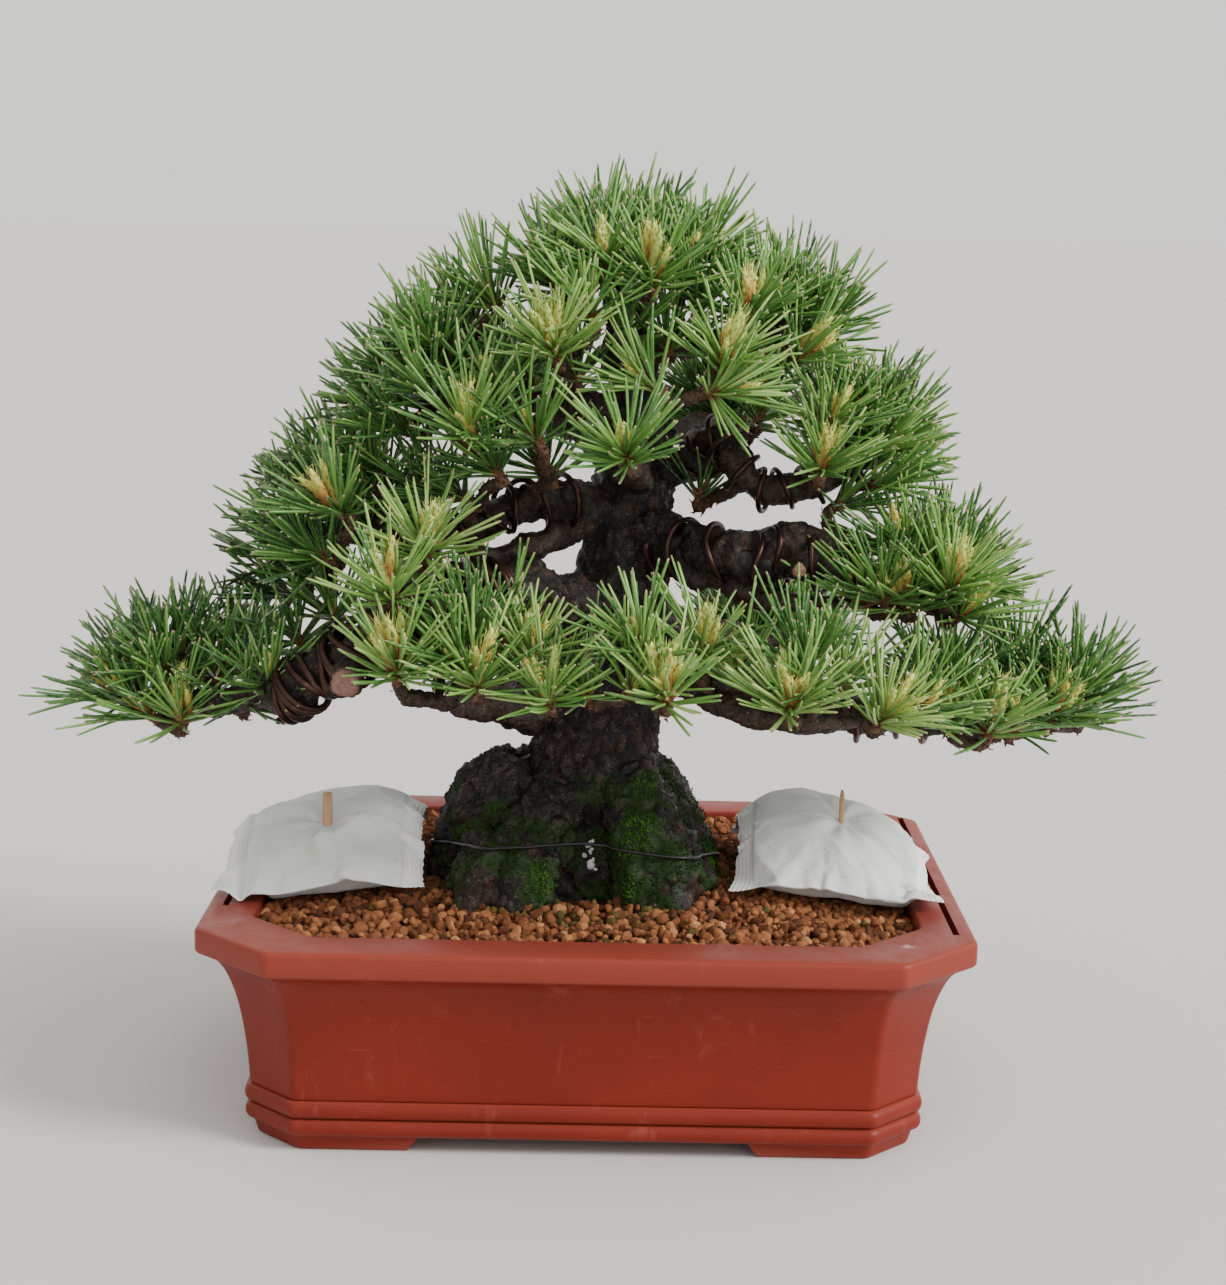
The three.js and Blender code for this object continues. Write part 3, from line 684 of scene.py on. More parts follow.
# each limb: points of its middle line, then its thickness along the way
wood = {
    "trunk": ([(1, -5, 112), (1.5, -6, 132), (2, -6, 150), (4, -5, 168), (8, -3, 186), (12, 0, 208),
               (13, 2, 235), (17, 4, 262), (17, 5, 288), (12, 6, 314), (7, 5, 342), (6, 4, 364)],
              [34, 29, 28, 26, 23, 19, 17.5, 14.5, 12, 9, 5.5, 3]),
    "voxel": 1.15,
    # where moss is thickest: a point and how far it reaches
    "mossSpots": [(18, -58, 120, 18), (-18, -64, 99, 14), (13, -66, 98, 15), (-4, -52, 123, 12),
                  (-46, -30, 112, 14), (52, -22, 100, 12), (22, -36, 134, 12), (-38, -36, 124, 9)],
}
limbs = {
    "low_left": ([(12, -2, 204), (-12, -33, 213), (-40, -56, 217), (-70, -72, 209), (-98, -80, 190),
                  (-138, -66, 174), (-182, -48, 167)], [12, 11, 10, 9.5, 8.5, 6, 3.5]),
    "mid_left": ([(14, 2, 243), (-20, -18, 250), (-49, -31, 241), (-80, -38, 236), (-112, -36, 238)],
                 [10, 8, 6.5, 5, 3]),
    "mid_left_fork": ([(-4, -12, 240), (-24, -26, 230), (-38, -30, 227), (-56, -36, 233)], [6, 6.5, 5.5, 3]),
    "front_low_left_fork": ([(-4, -8, 160), (-29, -26, 161), (-40, -44, 166), (-54, -70, 173)],
                            [8, 7, 5, 3.5]),
    "mid_right": ([(14, 2, 238), (42, -25, 232), (72, -40, 231), (106, -46, 226), (140, -40, 222)],
                  [11, 10, 9.5, 7.5, 3]),
    "mid_right_under": ([(18, -4, 228), (46, -28, 222), (68, -38, 214), (92, -42, 212), (114, -46, 216)],
                        [7, 6, 5.5, 4.5, 3]),
    "mid_right_fork": ([(58, -32, 233), (84, -36, 239), (108, -38, 237), (132, -30, 236)], [7, 6, 5, 3]),
    "high_right": ([(17, 4, 262), (40, -4, 266), (53, -20, 279), (60, -30, 266), (71, -31, 257),
                    (92, -28, 262), (118, -18, 274)], [9, 7.5, 6.5, 6, 5.5, 4.5, 3]),
    "high_left": ([(17, 5, 282), (-12, -8, 290), (-42, -18, 294), (-74, -22, 300)], [8, 6.5, 5, 3]),
    "top_right": ([(13, 6, 310), (40, 0, 316), (64, -8, 320), (84, -12, 326)], [6.5, 5, 4, 2.5]),
    "front_middle": ([(17, 4, 258), (16, -30, 264), (14, -66, 270), (13, -96, 273)], [8, 6, 4.5, 3]),
    "front_low_left": ([(2, -6, 172), (-36, -28, 171), (-55, -62, 177), (-58, -98, 181), (-72, -106, 184)],
                       [10, 7, 5.5, 4.5, 3]),
    "front_low_right": ([(10, -3, 190), (30, -46, 183), (56, -84, 177), (84, -98, 174), (106, -96, 176)],
                        [11, 7.5, 5.5, 4.5, 3]),
    "front_low_middle": ([(31, -50, 184), (24, -78, 186), (20, -106, 188)], [5, 4.5, 3]),
    "low_right": ([(11, -1, 194), (58, -28, 180), (104, -42, 168), (150, -40, 164), (204, -28, 162)],
                  [12, 9, 7.5, 6, 3.5]),
    "back_low_left": ([(8, -2, 182), (-22, 42, 178), (-66, 80, 175)], [11, 8, 4]),
    "back_low_right": ([(13, 1, 206), (44, 48, 188), (84, 84, 176)], [10, 7, 4]),
    "back_high_left": ([(17, 5, 266), (-4, 38, 272), (-42, 68, 278)], [8, 6, 3]),
    "back_high_right": ([(17, 5, 272), (36, 38, 276), (60, 66, 282)], [7.5, 6, 3]),
}
stubs = {
    "sawn": ([(-91, -77, 197), (-94, -90, 191), (-95, -100, 188)], [6.4, 6, 5.8]),
    "pruned": ([(80, -40, 230), (82, -50, 229), (83, -58, 229)], [5, 4.4, 4]),
}
roots = [
    ([(-27, -13, 133), (-40, -15, 126), (-48, -17, 102), (-50, -18, 66)], [15, 20, 20, 18]),
    ([(-8, -22, 128), (-22, -39, 110), (-28, -50, 94), (-30, -53, 66)], [15, 17, 18, 17]),
    ([(-40, -34, 112), (-46, -44, 98), (-48, -48, 66)], [10, 13, 13]),
    ([(12, -20, 134), (24, -37, 114), (28, -47, 96), (28, -51, 66)], [14, 17, 18.5, 18]),
    ([(20, -6, 124), (35, -9, 107), (41, -11, 92), (43, -12, 66)], [14, 16, 17, 17]),
    ([(30, -24, 112), (42, -32, 96), (44, -34, 66)], [9, 13, 13]),
    ([(10, 6, 132), (28, 26, 112), (34, 34, 90), (36, 36, 66)], [16, 17, 18, 18]),
    ([(0, 10, 132), (-4, 36, 112), (-4, 46, 90), (-4, 50, 66)], [16, 17, 18, 18]),
    ([(-8, 6, 130), (-32, 24, 114), (-41, 32, 92), (-43, 34, 66)], [16, 17, 18, 18]),
    ([(-38, -54, 112), (-44, -58, 96), (-47, -59, 70)], [6, 9, 9]),
    ([(34, -46, 112), (40, -52, 96), (42, -53, 70)], [6, 9, 9]),
    ([(0, -5, 126), (-2, -6, 98), (-2, -6, 62)], [30, 41, 46]),
]


def limbTube(points, radii, step=2.4):
    path = smoothPath(points, step)
    share = np.linspace(0, 1, len(path))
    thick = np.interp(share, np.linspace(0, 1, len(radii)), radii)
    # slim limbs are crooked and swell at old buds
    crook = smoothStep(15, 9, thick) * np.sin(math.pi * share) * np.minimum(thick, 9) * 0.55
    path = path + np.stack([softNoise(path, 13, 61 + k) for k in range(3)], 1) * crook[:, None]
    return path, thick * (1 + 0.22 * softNoise(path, 9, 65) * smoothStep(15, 9, thick))


def woodSamples():
    spots, sizes = [], []
    for points, radii in [wood["trunk"], *limbs.values(), *stubs.values(), *roots]:
        path, thick = limbTube(points, radii)
        spots.append(path)
        sizes.append(thick)
    return np.vstack(spots), np.concatenate(sizes)


def nearestSize(points, spots, sizes):
    # thickness of the limb whose middle line passes nearest, measured from its surface
    result = np.zeros(len(points))
    for start in range(0, len(points), 4000):
        chunk = points[start:start + 4000]
        d = np.linalg.norm(chunk[:, None, :] - spots[None], axis=2) - sizes[None]
        result[start:start + 4000] = sizes[np.argmin(d, axis=1)]
    return result


def barkLook():
    look = Look("bark", Specular_IOR_Level=0.4)
    crack = look.value("crack")
    plate = look.value("plate")
    age = look.value("age")
    moss = look.value("moss")
    fine = look.noise(1.3, 5, 0.65)
    broad = look.noise(16, 4, 0.6)
    color = look.ramp(plate, (0.0, (0.0030, 0.0018, 0.0015)), (0.45, (0.0075, 0.0036, 0.0028)),
                      (0.75, (0.020, 0.0085, 0.0060)), (1.0, (0.052, 0.022, 0.015)))
    young = look.ramp(fine, (0.3, (0.013, 0.0065, 0.0045)), (0.7, (0.060, 0.031, 0.020)))
    color = look.mix(look.fit(age, 0.12, 0.45), young, color)
    color = look.mix(look.fit(broad, 0.58, 0.74) * 0.5, color, (0.040, 0.016, 0.011))
    # pale flecks on the bark plates: partly the bark's own paler flakes, partly painted glints standing in
    # for fine specular sparkle
    flecksAndGlints = look.fit(look.noise(0.9, 3, 0.7), 0.58, 0.65) * look.fit(broad, 0.38, 0.55)
    color = look.mix(flecksAndGlints * 0.85, color, (0.190, 0.130, 0.100))
    color = look.mix((1 - look.fit(crack, 0.0, 0.5)) * 0.85, color, (0.003, 0.0022, 0.002))
    mossGreen = look.ramp(fine, (0.3, (0.003, 0.009, 0.001)), (0.7, (0.022, 0.058, 0.005)))
    mossy = look.fit(moss + (fine - 0.5) * 0.6, 0.40, 0.62)
    color = look.mix(mossy, color, mossGreen)
    wound = look.value("wound")
    color = look.mix(wound, color, look.ramp(fine, (0.3, (0.16, 0.075, 0.055)), (0.7, (0.34, 0.19, 0.15))))
    wet = look.fit(look.noise(9, 3, 0.6), 0.44, 0.58)
    rough = 0.66 - wet * 0.42 + look.fit(fine, 0.3, 0.7) * 0.2 + mossy * 0.15
    return look.finish(Base_Color=color, Roughness=rough,
                       Normal=look.bump(fine * 0.8 + look.noise(0.5, 2) * 0.3, 0.7, 1.0))


def makeWood():
    store = Parts()
    for points, radii in [wood["trunk"], *limbs.values(), *stubs.values(), *roots]:
        path, thick = limbTube(points, radii)
        store.add(*tube(path, thick, 18))
    raw = placeMesh("rawWood", store.mesh("rawWood"))
    skin = raw.modifiers.new("skin", "REMESH")
    skin.mode = "VOXEL"
    skin.voxel_size = wood["voxel"] * mm
    ease = raw.modifiers.new("ease", "SMOOTH")
    ease.iterations = 4
    mesh = bakeModifiers(raw)
    points, normals = readPoints(mesh), readNormals(mesh)
    spots, sizes = woodSamples()
    size = nearestSize(points, spots, sizes)
    age = np.clip(size / 26, 0.1, 1)
    # knobbly growth, then plates parted by cracks, then flakes
    gnarl = smoothStep(0.08, 0.3, age) * smoothStep(0.9, 0.5, age)
    knobs = softNoise(points, 8, 9) * (1.4 * np.sqrt(age) + 1.8 * gnarl)
    lumps = layeredNoise(points, 24, 3, 5) * 2.6 * age + knobs
    lumps += softNoise(points, 4.3, 19) * (1.0 * gnarl + 0.35 * age)
    folds = layeredNoise(points * np.array([1, 1, 0.32]), 12, 3, 51)
    furrows = (folds - 0.25 * np.abs(folds)) * 4.2 * smoothStep(0.5, 0.8, age)
    lumps += furrows * smoothStep(172, 128, points[:, 2])
    stretch = np.array([1, 1, 0.62])
    swirl = np.stack([softNoise(points, 9, 20 + k) for k in range(3)], 1) * 2.6
    gap, tone = plates((points + swirl) * stretch, 6.0, 3)
    gapSmall, toneSmall = plates((points + swirl * 0.4) * stretch, 2.6, 13)
    crack = np.where(age > 0.4, gap, gapSmall)
    ridge = smoothStep(0.0, 0.34, gap) * 1.9 * np.maximum(age, 0.6 * gnarl) * smoothStep(0.15, 0.4, age)
    flakes = smoothStep(0.0, 0.3, gapSmall) * (0.35 + 0.45 * age) * (0.5 + toneSmall)
    shift = lumps + ridge + flakes - 2.4 * age
    moved = points + normals * shift[:, None]
    writePoints(mesh, moved)
    normals = readNormals(mesh)
    setValues(mesh, "crack", np.minimum(smoothStep(0, 0.35, crack), smoothStep(0, 0.3, gapSmall) + 0.35))
    setValues(mesh, "plate", 0.55 * tone + 0.45 * toneSmall)
    setValues(mesh, "age", age)
    patch = layeredNoise(points, 11, 4, 41) * 0.95 + 0.47
    for x, y, z, reach in wood["mossSpots"]:
        patch += 0.55 * smoothStep(reach, reach * 0.3, np.linalg.norm(points - np.array([x, y, z]), axis=1))
    low = smoothStep(158, 118, points[:, 2]) * (0.72 + 0.28 * smoothStep(84, 96, points[:, 2]))
    moss = np.clip(patch * low * smoothStep(-0.6, 0.4, normals[:, 2] + 0.4), 0, 1)
    setValues(mesh, "moss", moss)
    wound = np.zeros(len(points))
    for path, radii in stubs.values():
        end, before = np.array(path[-1], float), np.array(path[-2], float)
        along = (points - end) @ unit(end - before)
        beside = np.linalg.norm(points - end - np.outer(along, unit(end - before)), axis=1)
        wound = np.maximum(wound, (along > -0.2) * smoothStep(radii[-1], radii[-1] - 1.2, beside))
    setValues(mesh, "wound", wound)
    raw.data = mesh
    raw.name = "trunkWood"
    shadeSmooth(mesh)
    coverWith(mesh, barkLook())
    rideFrame(raw, ["trunk"])
    return moved, normals, moss


woodPoints, woodNormals, woodMoss = makeWood()
print("wood made", len(woodPoints))

# moss on the root base

mossTufts = {"count": 7600, "length": (0.7, 1.9), "width": 0.36, "from": 0.46}


def mossLook():
    look = Look("moss", Roughness=0.7, Specular_IOR_Level=0.25)
    color = look.ramp(look.value("tone"), (0.0, (0.003, 0.008, 0.001)), (0.35, (0.012, 0.034, 0.003)),
                      (0.65, (0.032, 0.125, 0.008)), (1.0, (0.105, 0.330, 0.018)))
    fine = look.noise(0.8, 2)
    return look.finish(Base_Color=look.mix(fine * 0.4, color, (0.05, 0.08, 0.01)),
                       Normal=look.bump(fine, 0.2, 0.4))


def makeMoss():
    chance = np.random.default_rng(7)
    wanted = np.flatnonzero(woodMoss > mossTufts["from"])
    weight = (woodMoss[wanted] - mossTufts["from"]) ** 0.6
    picks = chance.choice(wanted, mossTufts["count"], p=weight / weight.sum())
    base = woodPoints[picks] + chance.normal(0, 0.5, (len(picks), 3))
    lean = unit(woodNormals[picks] + np.array([0, 0, 0.7]) + chance.normal(0, 0.45, (len(picks), 3)))
    side = unit(np.cross(lean, chance.normal(0, 1, (len(picks), 3))))
    long = chance.uniform(*mossTufts["length"], len(picks))[:, None]
    width = mossTufts["width"]
    points = np.stack([base - side * width, base + side * width, base + np.cross(lean, side) * width,
                       base + lean * long], 1).reshape(-1, 3)
    start = np.arange(len(picks))[:, None] * 4
    tris = np.concatenate([start + [0, 1, 3], start + [1, 2, 3], start + [2, 0, 3], start + [0, 2, 1]])
    bright = 0.3 * smoothStep(0.1, 0.75, layeredNoise(base, 14, 3, 77) + 0.9 * (woodMoss[picks] - 0.5))
    for x, y, z, reach in wood["mossSpots"]:
        bright += 0.75 * smoothStep(reach, reach * 0.2, np.linalg.norm(base - np.array([x, y, z]), axis=1))
    tone = np.clip(bright * 0.95 + chance.normal(0.12, 0.2, len(picks)), 0, 1)
    store = Parts()
    store.add(points, tris, tone=np.repeat(tone, 4))
    addPiece("rootMoss", store.mesh("rootMoss"), [mossLook()])


makeMoss()
print("moss made")

# training wires and the root base wire

coils = {   # limb: start and end as shares of its length, turns, diameter, strands
    "low_left": (0.30, 0.72, 15, 2.9, 2),
    "mid_left": (0.17, 0.78, 6.5, 2.5, 1),
    "mid_right": (0.17, 0.80, 6.5, 2.5, 1),
    "high_right": (0.20, 0.80, 7.5, 2.3, 1),
    "low_right": (0.18, 0.80, 9, 2.5, 1),
}
baseWire = {"middle": (-3.0, -5.0), "height": 99, "backDrop": 15, "lowest": 93, "steps": 240, "radius": 0.72,
            "twistLength": 14, "twistRadius": 1.2, "endRadius": 0.7}


def wireLook(name, dark, worn, rough, metal):
    look = Look(name, Specular_IOR_Level=0.5)
    streak = look.noise(3, 3, 0.6)
    rub = look.fit(look.noise(9, 4, 0.7), 0.55, 0.75)
    return look.finish(Base_Color=look.mix(rub * 0.6, dark, worn), Metallic=metal,
                       Roughness=rough + streak * 0.2, Normal=look.bump(streak, 0.08, 0.4))


def coilPath(points, radii, start, end, turns, wireRadius, phase):
    path, thick = limbTube(points, radii, step=1.0)
    tangents, across, up = pathFrames(path)
    steps = int(turns * 26)
    share = np.linspace(start, end, steps)
    row = np.linspace(0, 1, len(path))

    def along(values):
        return np.stack([np.interp(share, row, values[:, k]) for k in range(3)], 1)

    angle = phase + np.linspace(0, 2 * math.pi * turns, steps)
    share = share + 0.006 * np.sin(angle * 0.61 + phase)
    reach = np.interp(share, row, thick) * 1.04 + 0.9 + wireRadius + 0.7 * np.sin(angle * 0.37 + 1.3) ** 2
    return (along(path) + along(across) * (np.cos(angle) * reach)[:, None]
            + along(up) * (np.sin(angle) * reach)[:, None])


def makeCoils():
    brown = wireLook("brownWire", (0.050, 0.024, 0.018), (0.190, 0.115, 0.090), 0.26, 0.8)
    for name, (start, end, turns, thick, strands) in coils.items():
        store = Parts()
        points, radii = limbs[name]
        for strand in range(strands):
            phase = strand * thick * 0.75
            path = coilPath(points, radii, start + strand * 0.012, end + strand * 0.012, turns,
                            thick / 2, phase)
            store.add(*tube(path, thick / 2, 10))
        addPiece("coil_" + name, store.mesh("coil_" + name), [brown],
                 ["training_wire_" + name])


def makeBaseWire():
    # taut loop round the roots, touching only where they stand out
    black = wireLook("blackWire", (0.006, 0.006, 0.007), (0.030, 0.030, 0.032), 0.22, 0.0)
    centre, steps = np.array(baseWire["middle"]), baseWire["steps"]
    angles = np.linspace(0, 2 * math.pi, steps, endpoint=False)
    level = baseWire["height"] - baseWire["backDrop"] * np.sin(angles) - 2 * np.cos(angles)
    level = np.maximum(level, baseWire["lowest"])
    away = woodPoints[:, :2] - centre
    turn = np.mod(np.arctan2(away[:, 1], away[:, 0]), 2 * math.pi)
    step = np.minimum((turn / (2 * math.pi) * steps).astype(int), steps - 1)
    near = np.abs(woodPoints[:, 2] - level[step]) < 1.6
    surface = np.zeros(steps)
    np.maximum.at(surface, step[near], np.linalg.norm(away[near], axis=1))
    # pulled tight it bridges the hollows: the outline of the highest points
    spots = surface[:, None] * np.column_stack([np.cos(angles), np.sin(angles)])
    facing = np.array([np.max(spots @ [math.cos(a), math.sin(a)]) for a in angles])
    spread = np.cos(angles[None, :] - angles[:, None])
    hull = np.where(spread > 0.2, facing[None, :] / np.maximum(spread, 0.2), 999).min(1)
    hull = 0.7 * hull + 0.3 * np.minimum(hull, surface + 3) + 0.55
    loop = np.column_stack([centre[0] + hull * np.cos(angles), centre[1] + hull * np.sin(angles), level])
    store = Parts()
    store.add(*tube(np.vstack([loop, loop[:1]]), baseWire["radius"], 10))
    # its two ends, twisted together at the back
    back = loop[steps // 4] + np.array([0, 1.4, 0.4])
    twist = np.linspace(0, 1, 60)
    for strand in (0, math.pi):
        coil = np.column_stack([back[0] + baseWire["twistLength"] * twist,
                                back[1] + baseWire["twistRadius"] * np.cos(30 * twist + strand),
                                back[2] + baseWire["twistRadius"] * np.sin(30 * twist + strand) + 3 * twist])
        store.add(*tube(coil, baseWire["endRadius"], 8))
    addPiece("rootBaseWire", store.mesh("rootBaseWire"), [black], ["root_base_wire"])


makeCoils()
makeBaseWire()
print("wires made")

# shoots: twigs, needles and candles

# lean is in degrees from the shoot: the outermost needles, the innermost, and those round candles;
# droop is the share of low needles left hanging
shoots = {
    "needleLength": 30.5, "needleRadius": 0.72, "stem": 8, "droop": 0.15, "fullness": 1.3, "moreCandles": 1.6,
    "outerLean": (66, 84), "innerLean": 16, "candleLean": 30,
}
goldenAngle = 2.39996
fullTurn = 6.28

# each shoot: x, y, z of its foot, tilt to the right in degrees, lean to the front, needle pairs,
# candles, and its tone: partly how yellow the green is, partly painted light, higher on the lit front
# and top shoots and lower on the shaded inner and back ones
pads = {
    "top": [
        (3, -30, 343, -12, 0.45, 24, 3, 0.62), (21, -38, 338, 6, 0.55, 24, 3, 0.6),
        (35, -12, 344, 22, 0.35, 22, 2, 0.6), (-16, -8, 336, -34, 0.3, 24, 1, 0.5),
        (38, 10, 348, 44, 0.2, 20, 1, 0.55), (-1, 8, 347, -8, 0.2, 26, 2, 0.55),
        (22, 14, 346, 8, 0.1, 26, 2, 0.58), (-16, -62, 312, -14, 0.6, 30, 5, 0.82),
        (-2, -50, 326, -30, 0.6, 18, 0, 0.66), (10, -30, 316, 20, 0.5, 16, 0, 0.5),
        (17, 20, 340, 10, -0.2, 20, 0, 0.4), (-10, 20, 334, -20, -0.1, 18, 0, 0.35),
        (-8, -40, 300, -10, 0.5, 16, 0, 0.35), (28, -24, 312, 10, 0.5, 16, 0, 0.4)],
    "high_left": [
        (-41, -6, 328, -42, 0.3, 24, 1, 0.58), (-51, 10, 318, -46, 0.1, 22, 0, 0.5),
        (-63, -24, 312, -52, 0.3, 24, 0, 0.55), (-76, -6, 296, -60, 0.2, 22, 0, 0.42),
        (-84, -10, 286, -66, 0.1, 22, 0, 0.36), (-49, -72, 280, -8, 0.6, 26, 4, 0.6),
        (-39, -44, 294, -30, 0.5, 22, 2, 0.5), (-63, -44, 293, -50, 0.4, 24, 0, 0.45),
        (-73, -40, 279, -70, 0.4, 22, 0, 0.4), (-28, -20, 300, -20, 0.3, 20, 0, 0.4)],
    "top_right": [
        (48, -54, 307, 18, 0.55, 26, 4, 0.76), (59, -32, 325, 6, 0.3, 28, 4, 0.6),
        (68, -10, 326, 26, 0.2, 22, 1, 0.6), (78, -26, 310, 62, 0.3, 24, 3, 0.6),
        (67, 0, 312, 38, 0.1, 20, 1, 0.5), (41, -20, 330, -6, 0.3, 20, 0, 0.5),
        (43, -62, 299, 80, 0.45, 18, 1, 0.66), (25, -62, 300, -60, 0.5, 18, 1, 0.66)],
    "high_right": [
        (90, -46, 265, 12, 0.5, 28, 5, 0.64), (92, -34, 281, 16, 0.4, 24, 3, 0.58),
        (101, -14, 284, 34, 0.3, 24, 2, 0.6), (110, -20, 272, 72, 0.3, 24, 1, 0.66),
        (112, -30, 261, 94, 0.3, 22, 0, 0.55), (105, 0, 280, 46, 0.1, 22, 1, 0.6),
        (97, 4, 285, 26, 0.1, 20, 1, 0.55), (105, 10, 270, 66, 0, 20, 0, 0.4),
        (43, -12, 250, 5, 0.3, 7, 0, 0.25), (98, -30, 251, 60, 0.3, 14, 0, 0.5),
        (66, -24, 284, 10, 0.4, 16, 1, 0.45)],
    "mid_right": [
        (142, -62, 219, 8, 0.45, 28, 5, 0.7), (137, -46, 219, 30, 0.3, 24, 3, 0.62),
        (127, -40, 233, -14, 0.4, 22, 3, 0.55), (147, -30, 216, 72, 0.2, 22, 1, 0.5),
        (117, -62, 216, -20, 0.5, 18, 1, 0.55), (132, -10, 224, 34, 0.1, 18, 0, 0.35),
        (144, -14, 219, 60, 0.1, 20, 0, 0.38), (128, -56, 212, -10, 0.5, 16, 3, 0.5),
        (146, -52, 209, 40, 0.5, 16, 3, 0.6), (112, -52, 213, -30, 0.5, 14, 1, 0.45)],
    "low_right": [
        (189, -42, 164, 24, 0.4, 30, 5, 0.5), (183, -24, 172, -14, 0.2, 22, 0, 0.34),
        (182, -20, 165, 46, 0.1, 22, 0, 0.42), (177, -26, 181, -6, 0.2, 16, 0, 0.4),
        (171, -56, 163, 10, 0.4, 14, 2, 0.5)],
    "low_right_inner": [
        (160, -64, 163, 6, 0.4, 20, 4, 0.62), (145, -66, 167, -6, 0.4, 20, 3, 0.58),
        (142, -40, 172, -30, 0.3, 18, 0, 0.45), (162, -30, 172, 20, 0.2, 16, 0, 0.4)],
    "front_low_right": [
        (76, -112, 181, 2, 0.6, 34, 6, 0.82), (111, -98, 174, 30, 0.5, 24, 4, 0.80),
        (97, -84, 184, 22, 0.3, 18, 0, 0.70), (124, -84, 176, 50, 0.4, 18, 2, 0.6),
        (59, -84, 185, -16, 0.3, 16, 2, 0.6)],
    "front_low_middle": [
        (29, -118, 184, -2, 0.6, 22, 7, 0.78), (43, -84, 195, 10, 0.3, 18, 4, 0.7),
        (14, -108, 187, 26, 0.5, 22, 1, 0.66), (0, -100, 183, -30, 0.5, 16, 0, 0.5)],
    "front_low_left": [
        (-74, -108, 190, 4, 0.5, 26, 6, 0.74), (-43, -112, 187, 0, 0.6, 22, 4, 0.7),
        (-15, -112, 182, -12, 0.6, 22, 3, 0.7), (-25, -96, 195, 8, 0.4, 20, 5, 0.8),
        (-59, -90, 191, 10, 0.4, 22, 1, 0.6), (-36, -80, 200, -6, 0.2, 18, 0, 0.6)],
    "mid_left": [
        (-98, -66, 248, -44, 0.45, 26, 3, 0.5), (-66, -82, 233, 4, 0.5, 24, 5, 0.78),
        (-77, -100, 219, -4, 0.5, 26, 3, 0.74), (-105, -60, 230, -70, 0.4, 22, 0, 0.42),
        (-117, -30, 238, -66, 0.2, 22, 0, 0.38), (-126, -20, 224, -84, 0.1, 20, 0, 0.22),
        (-121, -30, 211, -86, 0.2, 20, 0, 0.2), (-101, -20, 261, -56, 0.2, 22, 0, 0.42),
        (-88, -34, 262, -36, 0.3, 22, 1, 0.5), (-67, -40, 252, -20, 0.3, 18, 0, 0.42),
        (-115, 0, 251, -62, 0, 20, 0, 0.35), (-108, -38, 216, -40, 0.4, 20, 0, 0.4),
        (-104, -44, 202, -20, 0.5, 18, 0, 0.42), (-118, -50, 192, -10, 0.5, 14, 0, 0.4)],
    "low_left": [
        (-165, -62, 161, -6, 0.5, 18, 5, 0.58), (-186, -48, 168, -46, 0.3, 20, 3, 0.42),
        (-175, -36, 176, -18, 0.3, 24, 2, 0.45), (-158, -30, 175, 6, 0.2, 22, 1, 0.42),
        (-128, -66, 176, -10, 0.5, 18, 3, 0.5), (-148, -10, 179, 10, 0.1, 20, 0, 0.35),
        (-181, -20, 171, -40, 0.1, 18, 0, 0.3), (-176, -60, 164, -62, 0.5, 14, 1, 0.42),
        (-140, -60, 168, 10, 0.5, 14, 0, 0.4)],
    "front_middle": [(13, -98, 274, -12, 0.75, 30, 2, 0.6)],
    "front_high_left": [
        (-22, -66, 278, -30, 0.4, 18, 1, 0.5), (-38, -60, 265, -40, 0.4, 20, 0, 0.42),
        (-50, -50, 254, -60, 0.4, 16, 0, 0.36), (-18, -40, 262, -20, 0.5, 14, 0, 0.3)],
}
# shoots that fill out each pad behind the ones above: how many, and their lean to the front
filling = {
    "top": (9, 0), "high_left": (9, 0), "top_right": (5, 0), "high_right": (6, 0), "mid_left": (6, 0),
    "mid_right": (4, 0), "low_left": (4, 0.1), "low_right": (3, 0.1), "low_right_inner": (2, 0.1),
    "front_low_right": (2, 0.2), "front_low_middle": (1, 0.2), "front_low_left": (2, 0.2),
    "back_low_left": (12, -0.35), "back_low_right": (12, -0.35), "back_high_left": (11, -0.35),
    "back_high_right": (11, -0.35),
}


def needleLook():
    look = Look("pineNeedles", Specular_IOR_Level=0.5, Roughness=0.3)
    along, tone = look.value("along"), look.value("tone")
    # tone runs from near-black green to pale yellow-green: besides the needles' own colour, the dark end is
    # painted shade and the light end a painted highlight
    green = look.ramp(tone, (0.0, (0.008, 0.034, 0.009)), (0.25, (0.024, 0.095, 0.018)),
                      (0.5, (0.075, 0.225, 0.034)), (0.75, (0.205, 0.410, 0.075)),
                      (1.0, (0.440, 0.600, 0.180)))
    streak = look.noise(1.6, 2)
    green = look.mix(look.fit(streak, 0.4, 0.65) * 0.35, green, (0.260, 0.400, 0.170))
    sheath = look.fit(along, 0.12, 0.05)
    green = look.mix(sheath, green, (0.26, 0.125, 0.055))
    tip = look.fit(along, 0.96, 0.99)
    green = look.mix(tip * 0.7, green, (0.42, 0.28, 0.18))
    return look.finish(Base_Color=green, Normal=look.bump(streak, 0.05, 0.3))


def twigLook():
    look = Look("twigs", Specular_IOR_Level=0.35)
    fine = look.noise(1.8, 4, 0.65)
    fresh = look.value("tone")
    old = look.ramp(fine, (0.25, (0.018, 0.011, 0.008)), (0.5, (0.045, 0.026, 0.017)),
                    (0.8, (0.110, 0.064, 0.040)))
    new = look.ramp(fine, (0.25, (0.070, 0.028, 0.015)), (0.5, (0.190, 0.085, 0.045)),
                    (0.8, (0.430, 0.260, 0.160)))
    return look.finish(Base_Color=look.mix(fresh, old, new), Roughness=0.6 + fine * 0.25,
                       Normal=look.bump(fine, 0.4, 0.8))


